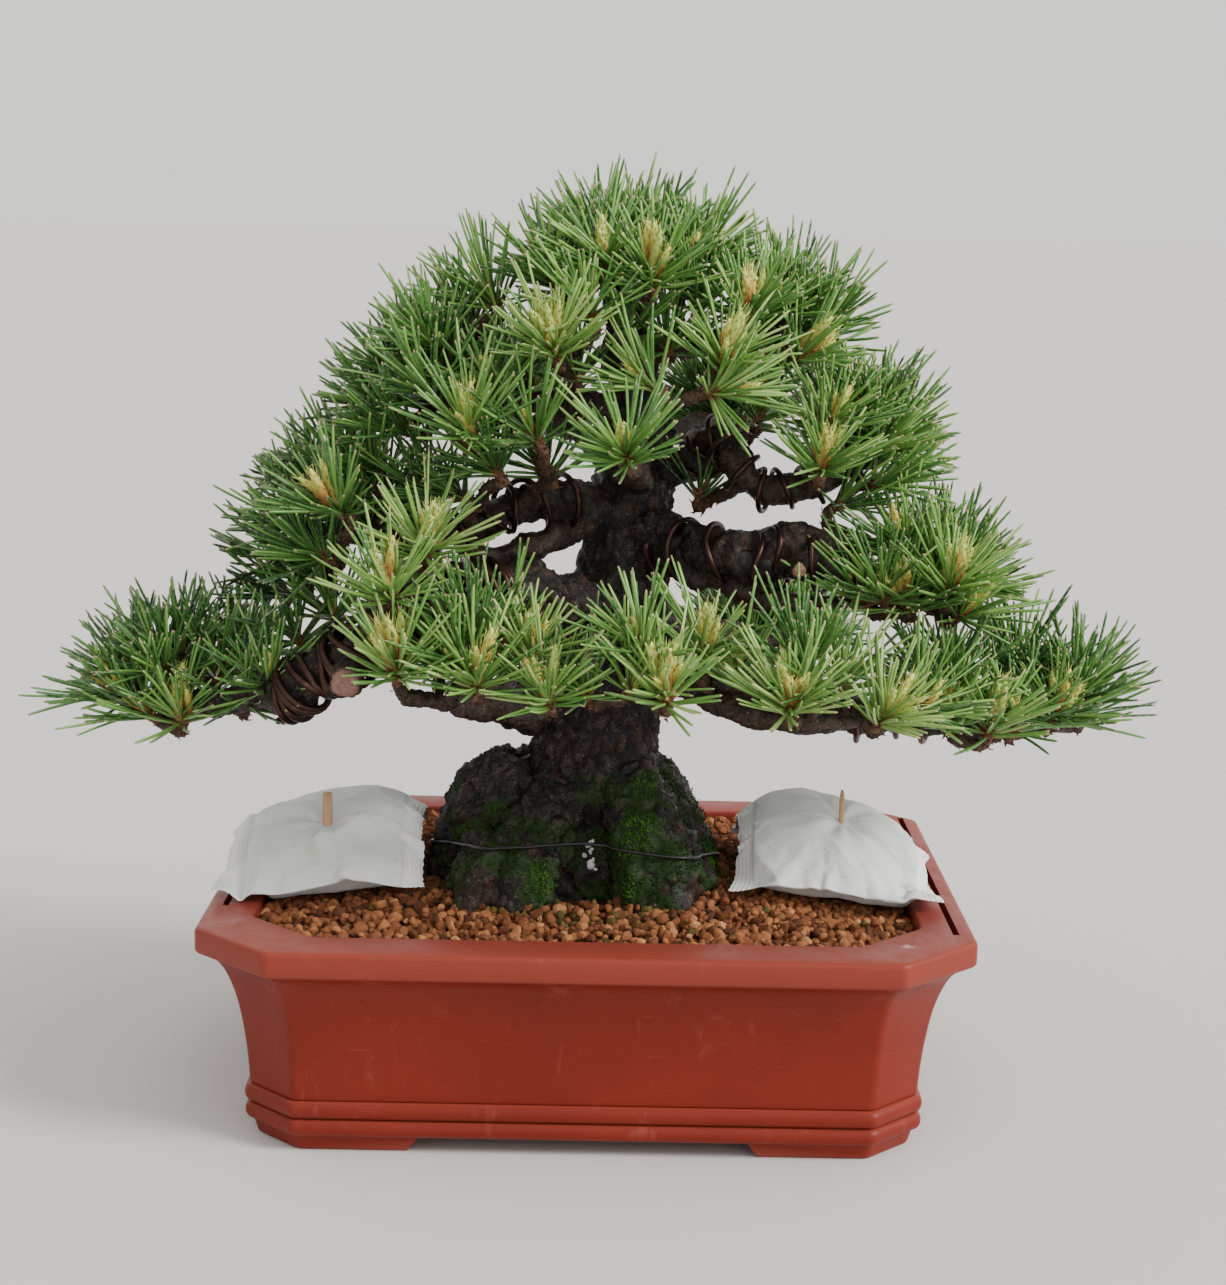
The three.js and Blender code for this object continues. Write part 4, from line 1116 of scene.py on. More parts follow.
def candleLook():
    look = Look("candles", Specular_IOR_Level=0.35)
    along, tone = look.value("along"), look.value("tone")
    fine = look.noise(1.0, 3)
    pale = look.ramp(along, (0.0, (0.21, 0.065, 0.022)), (0.35, (0.42, 0.17, 0.050)),
                     (0.6, (0.52, 0.42, 0.085)), (1.0, (0.66, 0.70, 0.19)))
    pale = look.mix(look.fit(tone, 0.4, 1.0) * 0.6, pale, (0.30, 0.48, 0.12))
    return look.finish(Base_Color=pale, Roughness=0.55 + fine * 0.2, Normal=look.bump(fine, 0.25, 0.5))


# where a needle's rings lie along it, and how thick it is there
needleRings = np.array([0, 0.08, 0.3, 0.55, 0.8, 0.955, 1.0])
needleThick = np.array([1.2, 1.1, 1.0, 1.0, 0.95, 0.8, 0.55])


def addNeedles(store, chance, base, axis, out, length, tone, radius):
    # base, axis (start direction) and out (bend) hold one row per needle
    count = len(base)
    t = needleRings[None, :, None]
    centre = base[:, None] + length[:, None, None] * (axis[:, None] * t + out[:, None] * t * t)
    ahead = unit(axis[:, None] + 2 * out[:, None] * t)
    side = unit(np.cross(ahead, chance.normal(0, 1, (count, 1, 3))))
    up = np.cross(ahead, side)
    thick = radius[:, None, None] * needleThick[None, :, None]
    points = np.zeros((count, len(needleRings), 3, 3))
    for k in range(3):
        a = 2 * math.pi * k / 3
        points[:, :, k] = centre + thick * (math.cos(a) * side + math.sin(a) * up)
    perNeedle = len(needleRings) * 3
    start = (np.arange(count) * perNeedle)[:, None, None]
    quads = (start + gridQuads(len(needleRings), 3)[None]).reshape(-1, 4)
    last = perNeedle - 3
    tris = (start + np.array([[last, last + 1, last + 2]])[None]).reshape(-1, 3)
    along = np.broadcast_to(needleRings[None, :, None], points.shape[:3]).reshape(-1)
    tones = np.broadcast_to(tone[:, None, None], points.shape[:3]).reshape(-1)
    store.add(points.reshape(-1, 3), tris, quads, look=0, along=along, tone=tones)


def addScales(store, chance, path, thick, count, long, wide, look, opening, along=None, tone=0):
    # narrow pointed scales set spirally round a stem
    tangents, across, up = pathFrames(path)
    row = np.linspace(0, 1, len(path))
    rank = (np.arange(count) + 0.5) / count * 0.97
    turn = np.arange(count) * goldenAngle + chance.uniform(0, fullTurn)

    def at(rows):
        return np.stack([np.interp(rank, row, rows[:, k]) for k in range(3)], 1)

    axis = unit(at(tangents))
    radial = unit(np.cos(turn)[:, None] * at(across) + np.sin(turn)[:, None] * at(up))
    foot = at(path) + radial * (np.interp(rank, row, thick) * 0.8)[:, None]
    lean = unit(axis + radial * (opening * chance.uniform(0.6, 1.3, count))[:, None])
    flat = unit(np.cross(lean, radial))
    size = long * chance.uniform(0.75, 1.25, count)
    points = np.stack([foot - flat * wide, foot + flat * wide, foot + radial * wide * 0.9,
                       foot + lean * size[:, None]], 1).reshape(-1, 3)
    start = np.arange(count)[:, None] * 4
    tris = np.concatenate([start + [0, 1, 3], start + [1, 2, 3], start + [2, 0, 3], start + [0, 2, 1]])
    low = rank if along is None else np.full(count, along)
    shade = np.stack([low, low, low, np.minimum(low + 0.3, 1)], 1).reshape(-1)
    store.add(points, tris, look=look, along=shade, tone=tone)


def addCandle(store, chance, base, axis, size):
    # a spindle of new growth clothed in narrow scales
    rows = np.linspace(0, 1, 7)
    bend = unit(np.cross(axis, chance.normal(0, 1, 3))) * size * 0.06
    path = base + np.outer(rows * size, axis) + np.outer(rows * rows, bend)
    thick = (0.95 + size * 0.055) * (0.8 + 0.4 * np.sin(np.minimum(rows * 2.4, 2.6))) * (1 - rows ** 3 * 0.7)
    tone = chance.uniform(0, 1)
    points, tris, quads = tube(path, thick, 6)
    store.add(points, tris, quads, look=2, along=np.append(np.repeat(rows, 6), [0, 1]), tone=tone)
    addScales(store, chance, path, thick, int(size * 1.6), size * 0.2 + 0.8, 0.34, 2, 0.32, tone=tone)


def addTwig(store, chance, path, thickStart, thickEnd, fresh):
    share = np.linspace(0, 1, len(path))
    knobs = 0.35 * np.sin(share * len(path) * 1.7 + chance.uniform(0, 6)) + chance.normal(0, 0.25, len(path))
    thick = thickStart + (thickEnd - thickStart) * share + knobs
    points, tris, quads = tube(path, thick, 8)
    tone = np.append(np.repeat(fresh * smoothStep(0.45, 1.0, share), 8), [0, fresh])
    store.add(points, tris, quads, look=1, along=0.2, tone=tone)
    length = len(path) * 2.2
    for first, last, shade in ((0, 0.5, 0.0), (0.5, 1, fresh * 0.8)):
        part = path[int(first * (len(path) - 1)):int(last * (len(path) - 1)) + 1]
        if len(part) > 2:
            addScales(store, chance, part, np.full(len(part), thickEnd + 0.3), int(length * 0.9), 2.8, 0.95,
                      1, 0.9, along=0.2, tone=shade)


def addShoot(store, chance, base, axis, pairs, tone, candles):
    axis = unit(axis)
    pairs = int(pairs * shoots["fullness"])
    candles = int(candles * shoots["moreCandles"])
    stem = shoots["stem"] * chance.uniform(0.8, 1.25)
    side = unit(np.cross(axis, [0.3, 0.2, 1.0]))
    path = np.array([base + axis * stem * k for k in np.linspace(0, 1, 5)])
    share = np.linspace(0, 1, len(path))
    store.add(*tube(path, 1.9 - 0.4 * share, 7), look=1, along=0.3, tone=0.9)
    addScales(store, chance, path, np.full(5, 1.7), 16, 3.2, 0.7, 1, 0.6, along=0.3, tone=0.9)
    rank = (np.arange(pairs) + 0.5) / pairs
    foot = base + np.outer(stem * (0.15 + 0.85 * rank), axis)
    turn = np.arange(pairs) * goldenAngle + chance.uniform(0, fullTurn)
    inner = shoots["candleLean"] if candles > 1 else shoots["innerLean"]
    outer = chance.uniform(*shoots["outerLean"])
    lean = np.radians(outer - (outer - inner) * rank ** 0.85 + chance.normal(0, 10, pairs))
    up = np.cross(axis, side)
    radial = np.cos(turn)[:, None] * side + np.sin(turn)[:, None] * up
    ahead = unit(axis * np.cos(lean)[:, None] + radial * np.sin(lean)[:, None])
    # few needles hang down, the rest turn up towards the light
    hanging = (ahead[:, 2] < -0.12) & (chance.uniform(0, 1, pairs) > shoots["droop"])
    ahead[hanging, 2] = np.abs(ahead[hanging, 2]) * 0.7
    ahead = unit(ahead)
    foot = foot + radial * 1.2
    long = shoots["needleLength"] * chance.uniform(0.66, 1.13, pairs)
    for mate in (-1, 1):
        apart = unit(np.cross(ahead, chance.normal(0, 1, (pairs, 3))))
        apart = apart * np.radians(chance.uniform(1.5, 6, (pairs, 1)))
        dirs = unit(ahead + mate * apart)
        bend = radial * 0.05 + np.array([0, 0, 0.07]) + chance.normal(0, 0.075, (pairs, 3))
        addNeedles(store, chance, foot + mate * apart * 3, dirs, bend,
                   long * chance.uniform(0.95, 1.03, pairs),
                   np.clip(tone + chance.normal(0, 0.15, pairs) + 0.10 * (rank - 0.5), 0, 1),
                   np.full(pairs, shoots["needleRadius"]) * chance.uniform(0.85, 1.1, pairs))
    tip = path[-1] - axis * 1.5
    for k in range(candles):
        aside = unit(axis + (chance.normal(0, 0.24, 3) if k else 0) + np.array([0, 0, 0.2]))
        size = chance.uniform(12, 22) if candles > 3 else chance.uniform(9, 14)
        addCandle(store, chance, tip + chance.normal(0, 1.5, 3), aside, size)


def fillingShoots(name, chance):
    count, lean = filling.get(name, (0, 0))
    centre, half = nodeBox("foliage_" + name)
    rows = []
    for k in range(count):
        r, a = math.sqrt((k + 0.4) / count), k * goldenAngle + len(name)
        room = np.maximum(half[:2] - 43, 5)
        x, y = centre[:2] + room * r * np.array([math.cos(a), math.sin(a)]) + chance.normal(0, 2, 2)
        if lean == 0:
            y = y + 0.25 * half[1]
        z = centre[2] - 0.45 * half[2] + 0.35 * half[2] * (1 - r * r) + chance.normal(0, 2)
        tilt = 52 * r * math.cos(a) + chance.normal(0, 6)
        front = lean - 0.7 * r * math.sin(a)
        # filling shoots sit inside and behind the pad and get a middling to low tone: darker green as painted
        # shade
        rows.append((x, y, z, tilt, front, 19, 1 if chance.uniform() < 0.5 else 0,
                     0.36 + chance.uniform(0, 0.22)))
    return rows


def limbSpots():
    # points that a twig can start from: the outer parts of the limbs and the top of the trunk
    spots = []
    for limb in limbs.values():
        path = limbTube(*limb)[0]
        spots.append(path[np.linspace(0, 1, len(path)) > 0.4])
    path = limbTube(*wood["trunk"])[0]
    spots.append(path[path[:, 2] > 312])
    return np.vstack(spots)


def makePads():
    looks = [needleLook(), twigLook(), candleLook()]
    spots = limbSpots()
    for number, name in enumerate(filling | pads):
        chance = np.random.default_rng(100 + number)
        store = Parts()
        rows = list(pads.get(name, [])) + fillingShoots(name, chance)
        feet = np.array([row[:3] for row in rows], float)
        grown = spots
        # shoots nearest the limbs grow first, later ones branch from their twigs
        order = np.argsort([np.min(np.linalg.norm(spots - f, axis=1)) for f in feet])
        for k in order:
            x, y, z, tilt, front, pairs, candles, tone = rows[k]
            foot = feet[k]
            angle = math.radians(tilt)
            aim = np.array([math.sin(angle), -front, max(math.cos(angle), 0.12)])
            axis = unit(aim + chance.normal(0, 0.05, 3))
            gap = np.linalg.norm(grown - foot + np.array([0, 0, 5]), axis=1)
            near = grown[np.argmin(gap)]
            bends = max(1, int(np.linalg.norm(foot - near) / 9))
            kinks = []
            for bend in range(1, bends + 1):
                sag = np.array([0, 0, 1.2 * math.sin(math.pi * bend / (bends + 1))])
                kinks.append(near + (foot - near) * bend / (bends + 1) + chance.normal(0, 1.3, 3) - sag)
            path = smoothPath([near, *kinks, foot - axis * 3, foot + axis * 1.5], 2.2)
            addTwig(store, chance, path, 3.1, 2.0, 0.5)
            grown = np.vstack([grown, path[:int(len(path) * 0.8)]])
            addShoot(store, chance, foot, axis, pairs, tone, candles)
        piece = addPiece("shoots_" + name, store.mesh("shoots_" + name), looks,
                         ["foliage_" + name])
        print("pad", name, len(rows), len(piece.data.polygons))


makePads()
print("shoots made")

# soil

soil = {
    "edge": 84, "middle": 91, "spacing": 3.75, "size": (2.6, 6.0),
    # how far each layer of grains lies below the top, its sideways shift and how much larger it is
    "layers": [(0.9, 0.0, 1.0), (3.4, 0.5, 1.1)], "looseGrains": 420, "looseSize": (2.2, 4.6), "highest": 93,
    "root": (-4, -5), "rootReach": (50, 54),
    # middle of each sachet, how far the soil is bare under it and how far it is pressed flat
    "sachet": (107, -4), "bare": (28, 22), "pressed": (48, 62),
}


def soilTop(x, y):
    edge = np.maximum(np.abs(x) / pot["opening"][0], np.abs(y) / pot["opening"][1])
    rise = smoothStep(0, 0.6, 1 - edge)
    return soil["edge"] + (soil["middle"] - soil["edge"]) * rise


def grainLook():
    look = Look("clayGrains", Specular_IOR_Level=0.25)
    tone = look.value("tone")
    pore = look.noise(0.9, 3, 0.7)
    blotch = look.noise(2.4, 3)
    color = look.ramp(tone, (0.0, (0.030, 0.010, 0.005)), (0.2, (0.110, 0.036, 0.014)),
                      (0.5, (0.225, 0.078, 0.030)), (0.8, (0.380, 0.150, 0.058)),
                      (1.0, (0.560, 0.275, 0.125)))
    color = look.mix(look.fit(blotch, 0.45, 0.7) * 0.4, color, (0.16, 0.065, 0.032))
    mossy = look.value("mossy")
    color = look.mix(mossy * 0.8, color, (0.055, 0.075, 0.014))
    return look.finish(Base_Color=color, Roughness=0.8 + pore * 0.15,
                       Normal=look.bump(pore, 0.5, 0.9))


def ballShape():
    # a ball of 80 triangles, to be cut into grains
    g = (1 + 5 ** 0.5) / 2
    corners = [(-1, g, 0), (1, g, 0), (-1, -g, 0), (1, -g, 0), (0, -1, g), (0, 1, g), (0, -1, -g),
               (0, 1, -g), (g, 0, -1), (g, 0, 1), (-g, 0, -1), (-g, 0, 1)]
    faces = [(0, 11, 5), (0, 5, 1), (0, 1, 7), (0, 7, 10), (0, 10, 11), (1, 5, 9), (5, 11, 4),
             (11, 10, 2), (10, 7, 6), (7, 1, 8), (3, 9, 4), (3, 4, 2), (3, 2, 6), (3, 6, 8), (3, 8, 9),
             (4, 9, 5), (2, 4, 11), (6, 2, 10), (8, 6, 7), (9, 8, 1)]
    points = [unit(c) for c in corners]
    found, split = {}, []

    def between(a, b):
        key = (min(a, b), max(a, b))
        if key not in found:
            points.append(unit((points[a] + points[b]) / 2))
            found[key] = len(points) - 1
        return found[key]

    for a, b, c in faces:
        ab, bc, ca = between(a, b), between(b, c), between(c, a)
        split += [(a, ab, ca), (b, bc, ab), (c, ca, bc), (ab, bc, ca)]
    return np.array(points), np.array(split)


def grainField(chance, spots, sizes, tones, mossy):
    # each grain is a ball with nine flat facets cut off it
    ball, faces = ballShape()
    count = len(spots)
    cuts = unit(chance.normal(0, 1, (count, 9, 3)))
    reach = chance.uniform(0.52, 0.95, (count, 9))
    facing = np.einsum("nkc,vc->nvk", cuts, ball)
    limit = np.where(facing > 0.15, reach[:, None, :] / np.maximum(facing, 0.15), 9)
    radius = np.minimum(limit.min(2), 1.05)
    squash = chance.uniform(0.78, 1.2, (count, 1, 3))
    points = ball[None] * radius[:, :, None] * squash * (sizes / 2)[:, None, None]
    turn = chance.uniform(0, fullTurn, count)
    c, s = np.cos(turn)[:, None], np.sin(turn)[:, None]
    points = np.stack([points[..., 0] * c - points[..., 1] * s, points[..., 0] * s + points[..., 1] * c,
                       points[..., 2]], -1) + spots[:, None]
    tris = (faces[None] + (np.arange(count) * len(ball))[:, None, None]).reshape(-1, 3)
    return points.reshape(-1, 3), tris, np.repeat(tones, len(ball)), np.repeat(mossy, len(ball))


def insideOpening(x, y, margin):
    halfX, halfY = pot["opening"][0] - margin, pot["opening"][1] - margin
    corner = (halfX + halfY - pot["openingCut"] - margin * 0.4) - np.abs(x) - np.abs(y)
    return (np.abs(x) < halfX) & (np.abs(y) < halfY) & (corner > 0)


def makeShadeBed(look):
    # dark bed, a sheet of painted shade that shows only in the gaps between the grains
    rows = []
    for share in np.linspace(1, 0.04, 26):
        loop = roundedOctagon((pot["opening"][0] - 0.6) * share, (pot["opening"][1] - 0.6) * share,
                              pot["openingCut"] * share, pot["openingCorner"] * share, 0)
        loop[:, 2] = soilTop(loop[:, 0], loop[:, 1]) - 4.2
        rows.append(loop)
    bottom = roundedOctagon(pot["floor"][0] - 1.5, pot["floor"][1] - 1.5, pot["openingCut"] - 7, 6, 16.5)
    points, tris, quads = stackLoops([bottom] + rows)
    store = Parts()
    # tone 0.05, the darkest grain colour: painted shade
    store.add(points, tris, quads, tone=0.05, mossy=0.0)
    addPiece("soilShadeBed", store.mesh("soilShadeBed"), [look], ["soil"])


def scatterGrains(chance):
    step = soil["spacing"]
    halfX, halfY = pot["opening"]
    spots, sizes = [], []
    for drop, shift, larger in soil["layers"]:
        gx, gy = np.meshgrid(np.arange(-halfX, halfX, step), np.arange(-halfY, halfY, step))
        x = gx.ravel() + shift * step + chance.uniform(-0.42, 0.42, gx.size) * step
        y = gy.ravel() + shift * step + chance.uniform(-0.42, 0.42, gx.size) * step
        size = chance.uniform(*soil["size"], gx.size) * larger
        z = soilTop(x, y) - drop + layeredNoise(np.column_stack([x, y, x * 0]), 22, 2, 71) * 1.5
        z += chance.normal(0, 0.7, gx.size)
        spots.append(np.column_stack([x, y, z]))
        sizes.append(size)
    loose = soil["looseGrains"]
    x, y = chance.uniform(-halfX, halfX, loose), chance.uniform(-halfY, halfY, loose)
    spots.append(np.column_stack([x, y, soilTop(x, y) + 1.6 + chance.normal(0, 0.5, loose)]))
    sizes.append(chance.uniform(*soil["looseSize"], loose))
    return np.vstack(spots), np.concatenate(sizes)


def rootDistance(spots):
    # 1 at the foot of the root base
    (x, y), (reachX, reachY) = soil["root"], soil["rootReach"]
    return np.hypot((spots[:, 0] - x) / reachX, (spots[:, 1] - y) / reachY)


def makeSoil():
    look = grainLook()
    chance = np.random.default_rng(21)
    makeShadeBed(look)
    spots, sizes = scatterGrains(chance)
    x, y = spots[:, 0], spots[:, 1]
    # the sachets press the grains down at their edges, and nothing shows under their middles
    beside, along = np.abs(np.abs(x) - soil["sachet"][0]), np.abs(y - soil["sachet"][1])
    covered = (beside < soil["bare"][0]) & (along < soil["bare"][1])
    pressed = (beside < soil["pressed"][0]) & (along < soil["pressed"][1])
    lid = soilTop(x, y) + 1.6 - 0.55 * sizes
    spots[:, 2] = np.where(pressed, np.minimum(spots[:, 2], lid), spots[:, 2])
    keep = insideOpening(x, y, 1.6) & (rootDistance(spots) > 1) & ~covered
    spots, sizes = spots[keep], sizes[keep]
    spots[:, 2] = np.minimum(spots[:, 2], soil["highest"] - sizes * 0.3)
    tone = np.clip(chance.beta(2.2, 2.4, len(spots)), 0, 1)
    near = smoothStep(1.75, 1.1, rootDistance(spots))
    mossy = (chance.uniform(0, 1, len(spots)) < 0.03 + 0.3 * near) * chance.uniform(0.4, 1, len(spots))
    strips = {"soilGrainsFront": spots[:, 1] < -45, "soilGrainsMiddle": np.abs(spots[:, 1]) <= 45,
              "soilGrainsBack": spots[:, 1] > 45}
    for name, chosen in strips.items():
        points, tris, tones, green = grainField(chance, spots[chosen], sizes[chosen], tone[chosen],
                                                mossy[chosen])
        store = Parts()
        store.add(points, tris, tone=tones, mossy=green)
        addPiece(name, store.mesh(name, smooth=False), [look])
        print(name, chosen.sum())


grit = {"count": 9, "heights": (110.5, 100), "middle": 0.6, "spread": 1.4, "size": (2.0, 4.2)}


def makeGrit():
    # a few white mineral crumbs caught in the groove between the front roots
    chance = np.random.default_rng(33)
    spots = []
    for z in np.linspace(*grit["heights"], grit["count"]):
        x = grit["middle"] + chance.normal(0, grit["spread"])
        near = (np.abs(woodPoints[:, 0] - x) < 1.5) & (np.abs(woodPoints[:, 2] - z) < 1.5)
        spots.append((x, woodPoints[near, 1].min() + 0.5, z))
    none = np.zeros(len(spots))
    sizes = chance.uniform(*grit["size"], len(spots))
    points, tris = grainField(chance, np.array(spots), sizes, none, none)[:2]
    store = Parts()
    store.add(points, tris)
    look = Look("whiteGrit", Specular_IOR_Level=0.3)
    speck = look.noise(0.9, 3)
    look.finish(Base_Color=look.mix(speck, (0.42, 0.42, 0.40), (0.86, 0.86, 0.84)),
                Roughness=0.6 + speck * 0.3, Normal=look.bump(speck, 0.2, 0.6))
    addPiece("whiteGrit", store.mesh("whiteGrit", smooth=False), [look.material])


makeSoil()
makeGrit()
print("soil made")

# fertiliser sachets: cloth dropped over a heap of pellets, then closed underneath

# heap: offset from the middle, half width, half length and height of the pellets; lip: how far the
# front edge stands off the soil; pin: where the stick goes in; stain: its place and reach; flap: width
# of the side that is folded along its length
sachets = {
    "left": {"centre": (-110, -12), "turn": 0.03, "width": 91, "heap": (3, 5, 50, 57, 30), "lip": 2.4,
             "pin": (-110, -30), "stain": (-134, 14, 6), "flap": 15, "seed": 3},
    "right": {"centre": (103.5, -10), "turn": -0.03, "width": 94, "heap": (-2, 6, 45, 55, 31), "lip": 3.6,
              "pin": (107, -20), "stain": (132, -50, 5), "flap": 0, "seed": 8},
}
cloth = {"length": 110, "columns": 44, "rows": 56, "seam": 9, "frames": 26, "ridges": 2.9, "pinking": 0.4}


def lyingHeight(x, y, facts):
    # what the sachet lies on, without and with its own pellets
    spot = np.column_stack([x, y, x * 0 + facts["seed"]])
    ground = soilTop(x, y) + 2.4 + softNoise(spot, 13, 5) * 1.3
    ground = np.where(np.abs(x) > pot["opening"][0] - 1, pot["height"] + 0.5, ground)
    hx, hy, wide, long, tall = facts["heap"]
    dx, dy = x - facts["centre"][0] - hx, y - facts["centre"][1] - hy
    share = np.clip(1 - np.abs(dx / wide) ** 2.6 - np.abs(dy / long) ** 2.3, 0, 1)
    lumps = layeredNoise(spot, 17, 2, 15) * 2.4 * smoothStep(0, 0.4, share)
    edge = smoothStep(-22, -50, y - facts["centre"][1]) * smoothStep(-44, -26, x - facts["centre"][0])
    return ground, ground + tall * share ** 0.95 + lumps + facts["lip"] * edge * (1 + 0.3 * np.sin(x / 9))


def sachetLook():
    look = Look("sachetCloth", Specular_IOR_Level=0.25, Roughness=0.8)
    across, seam = look.value("across"), look.value("seam")
    weave = look.noise(0.7, 3, 0.7)
    stainWide = look.noise(24, 4, 0.6)
    stainSmall = look.noise(7, 4, 0.65)
    speck = look.cells(5.5)
    color = look.mix(look.fit(weave, 0.35, 0.7) * 0.5, (0.66, 0.675, 0.665), (0.76, 0.77, 0.755))
    color = look.mix(look.fit(stainWide, 0.52, 0.72) * 0.5, color, (0.56, 0.56, 0.38))
    color = look.mix(look.fit(stainSmall, 0.62, 0.76) * 0.35, color, (0.42, 0.43, 0.33))
    color = look.mix(look.fit(speck, 0.10, 0.04) * 0.55, color, (0.10, 0.09, 0.06))
    # the seams and the folded flap are painted whiter: a painted highlight, as if they caught more light than
    # the rest of the cloth
    color = look.mix(seam * 0.75, color, (0.88, 0.88, 0.87))
    color = look.mix(look.value("stain") * look.fit(stainSmall, 0.35, 0.55) * 0.7, color, (0.36, 0.27, 0.17))
    ribs = look.node("Math", {"operation": "SINE"}, {0: across * 5.2}) * seam
    height = weave * 0.5 + ribs * 0.25 + stainSmall * 0.3
    return look.finish(Base_Color=color, Normal=look.bump(height, 0.30, 0.7))


def dropCloth(sheet, facts):
    x, y = np.meshgrid(np.linspace(-75, 75, 91), np.linspace(-85, 85, 103))
    x, y = x.ravel() + facts["centre"][0], y.ravel() + facts["centre"][1]
    heap = meshFrom("heap", np.column_stack([x, y, lyingHeight(x, y, facts)[1]]),
                    [gridQuads(103, 91, closed=False)])
    under = placeMesh("heap", heap)
    under.modifiers.new("hit", "COLLISION")
    under.collision.thickness_outer = 0.0007
    under.collision.cloth_friction = 8
    soft = sheet.modifiers.new("cloth", "CLOTH")
    soft.settings.quality = 8
    soft.settings.mass = 0.12
    soft.settings.tension_stiffness = soft.settings.compression_stiffness = 60
    soft.settings.shear_stiffness = 35
    soft.settings.bending_stiffness = 12
    soft.settings.air_damping = 2
    soft.collision_settings.distance_min = 0.0007
    soft.collision_settings.collision_quality = 3
    soft.collision_settings.use_self_collision = False
    soft.point_cache.frame_end = cloth["frames"]
    for step in range(1, cloth["frames"] + 1):
        bpy.context.scene.frame_set(step)
    bakeModifiers(sheet)
    bpy.context.scene.frame_set(1)
    bpy.data.objects.remove(under)
    bpy.data.meshes.remove(heap)


def pinnedFolds(points, normals, facts):
    # the stick holds the cloth down: a dimple, with short creases running out of it, and soft facets
    dx, dy = points[:, 0] - facts["pin"][0], points[:, 1] - facts["pin"][1]
    far, turn = np.hypot(dx, dy), np.arctan2(dy, dx)
    wave = np.sin(turn * 5 + facts["seed"]) + 0.6 * np.sin(turn * 9 + 1.3 * facts["seed"])
    creases = wave * 0.9 * smoothStep(2, 9, far) * smoothStep(44, 10, far)
    facets = (0.45 - np.abs(layeredNoise(points, 28, 2, 90 + facts["seed"]))) * 4.2
    return (creases + facets - 3.4 * np.exp(-(far / 8) ** 2)) * smoothStep(0.0, 0.4, normals[:, 2])


def makeSachet(side, facts, look):
    columns, rows = cloth["columns"], cloth["rows"]
    u, v = np.meshgrid(np.linspace(-0.5, 0.5, columns + 1), np.linspace(-0.5, 0.5, rows + 1))
    across, down = u.ravel() * facts["width"], v.ravel() * cloth["length"]
    # pinked edges along the two crimped seams
    zigzag = cloth["pinking"] * np.cos(math.pi * np.repeat(np.arange(rows + 1), columns + 1))
    across = across + np.where(np.abs(u.ravel()) == 0.5, zigzag, 0)
    c, s = math.cos(facts["turn"]), math.sin(facts["turn"])
    x = facts["centre"][0] + across * c - down * s
    y = facts["centre"][1] + across * s + down * c
    heap = lyingHeight(x, y, facts)[1]
    grid = gridQuads(rows + 1, columns + 1, closed=False)
    start = np.full(len(x), heap.max() + 2)
    name = "sachetCloth_" + side
    piece = placeMesh(name, meshFrom(name, np.column_stack([x, y, start]), [grid]))
    dropCloth(piece, facts)
    top = readPoints(piece.data)
    if facts["flap"]:
        # a fold runs along the left side, and the flap beyond it turns up a little
        line = across + facts["width"] / 2 - facts["flap"] - 0.05 * down
        top[:, 2] += 3.4 * smoothStep(-1, -9, line) - 3.2 * np.exp(-(line / 2.2) ** 2)
    # the underside lies on the soil and meets the top at the edges
    edge = np.minimum(facts["width"] / 2 - np.abs(across), cloth["length"] / 2 - down)
    edge = np.minimum(edge, (cloth["length"] / 2 + down) * 0.8)
    ground = lyingHeight(top[:, 0], top[:, 1], facts)[0]
    low = np.minimum(ground + 0.3, top[:, 2] - 0.6)
    low = top[:, 2] - 0.6 + (low - top[:, 2] + 0.6) * smoothStep(3, 14, edge)
    bottom = np.column_stack([top[:, :2], low])
    count, stride = len(top), columns + 1
    rim = list(range(columns)) + [j * stride + columns for j in range(rows)]
    rim += [rows * stride + i for i in range(columns, 0, -1)] + [j * stride for j in range(rows, 0, -1)]
    sides = [(b, a, a + count, b + count) for a, b in zip(rim, rim[1:] + rim[:1])]
    old = piece.data
    faces = np.vstack([grid, grid[:, ::-1] + count, np.array(sides)])
    piece.data = meshFrom(name, np.vstack([top, bottom]), [faces])
    bpy.data.meshes.remove(old)
    setValues(piece.data, "across", np.tile(across, 2))
    band = np.where(across < 0, max(facts["flap"], cloth["seam"]), cloth["seam"])
    seam = smoothStep(1, -1, facts["width"] / 2 - np.abs(across) - band)
    setValues(piece.data, "seam", np.tile(seam, 2))
    finer = piece.modifiers.new("finer", "SUBSURF")
    finer.levels = finer.render_levels = 2
    mesh = bakeModifiers(piece)
    points, normals = readPoints(mesh), readNormals(mesh)
    values = {}
    for key in ("across", "seam"):
        values[key] = np.zeros(len(points), np.float32)
        mesh.attributes[key].data.foreach_get("value", values[key])
    crimp = np.sin(values["across"] * cloth["ridges"]) * values["seam"] * 0.13
    pellets = layeredNoise(points, 5.5, 2, 60 + facts["seed"]) * 0.35
    pellets += pinnedFolds(points, normals, facts)
    writePoints(mesh, points + normals * (crimp + pellets * (1 - values["seam"]))[:, None])
    x, y, reach = facts["stain"]
    setValues(mesh, "stain", smoothStep(reach, reach * 0.3, np.hypot(points[:, 0] - x, points[:, 1] - y)))
    shadeSmooth(mesh)
    coverWith(mesh, look)
    rideFrame(piece, ["sachet_" + side])
    return mesh


sachetCloth = sachetLook()
for side, facts in sachets.items():
    made = makeSachet(side, facts, sachetCloth)
    heights = readPoints(made)[:, 2]
    print("sachet", side, len(made.polygons), heights.min().round(1), heights.max().round(1))

# sticks that pin the sachets

sticks = {"left": {"bottom": 62, "top": 127, "size": 3.8}, "right": {"bottom": 58, "top": 130, "size": 2.2}}


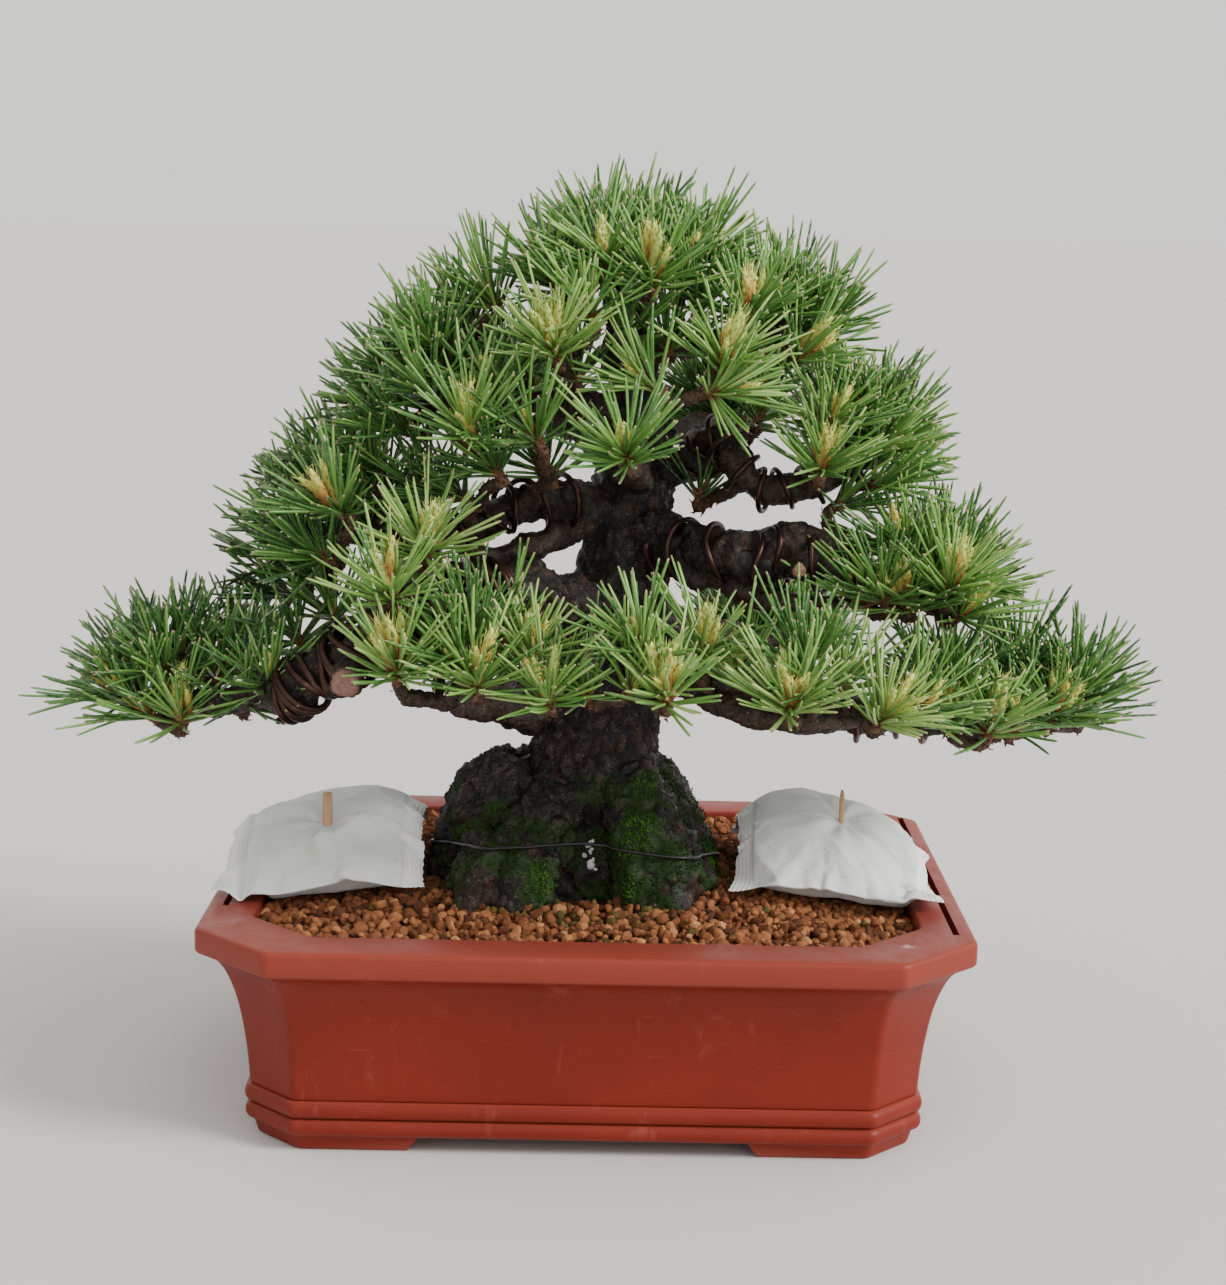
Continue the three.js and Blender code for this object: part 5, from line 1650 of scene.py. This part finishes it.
def stickLook():
    look = Look("stickWood", Specular_IOR_Level=0.3)
    grain = look.noise(1.2, 4, 0.6, (1, 1, 0.06))
    blotch = look.noise(8, 3)
    color = look.ramp(grain, (0.3, (0.36, 0.20, 0.10)), (0.6, (0.56, 0.35, 0.19)), (0.85, (0.68, 0.46, 0.27)))
    color = look.mix(look.fit(blotch, 0.5, 0.75) * 0.5, color, (0.24, 0.13, 0.07))
    return look.finish(Base_Color=color, Roughness=0.6 + grain * 0.2, Normal=look.bump(grain, 0.2, 0.6))


def makeSticks():
    look = stickLook()
    for side, facts in sticks.items():
        heights = np.linspace(facts["bottom"], facts["top"], 30)
        x, y = sachets[side]["pin"]
        half = facts["size"] / 2
        if side == "left":   # square, with eased edges
            loops = []
            for z in heights:
                close = min(z - facts["bottom"], facts["top"] - z)
                h = half * (0.9 if close < 0.5 else 1.0)
                loops.append(roundedOctagon(h, h * 0.85, 0.5, 0.3, z, 3)
                             + np.array([x, y, 0]))
            points, tris, quads = stackLoops(loops)
        else:   # round and pointed
            path = np.column_stack([heights * 0 + x, heights * 0 + y, heights])
            share = (heights - facts["bottom"]) / (facts["top"] - facts["bottom"])
            thick = half * np.clip(np.minimum(share * 6, (1 - share) * 14 + 0.45), 0.12, 1)
            points, tris, quads = tube(path, thick, 12)
        store = Parts()
        store.add(points, tris, quads)
        addPiece("stick_" + side, store.mesh("stick_" + side), [look],
                 ["sachet_stick_" + side])


makeSticks()
print("sticks made")

# drain meshes and their staples keep their shape from the frame

meshLook = Look("drainMesh", Specular_IOR_Level=0.4)
meshGrain = meshLook.noise(2.5, 3)
meshLook.finish(Base_Color=meshLook.mix(meshGrain, (0.010, 0.011, 0.012), (0.035, 0.036, 0.040)),
                Roughness=0.5 + meshGrain * 0.25, Normal=meshLook.bump(meshGrain, 0.1, 0.5))
clipLook = wireLook("clipWire", (0.32, 0.33, 0.35), (0.55, 0.56, 0.58), 0.25, 1.0)
for side in ("left", "right"):
    for node, material in (("drain_mesh_", meshLook.material), ("mesh_clip_", clipLook)):
        coverWith(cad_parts[node + side].data, material)
print("drain meshes finished")
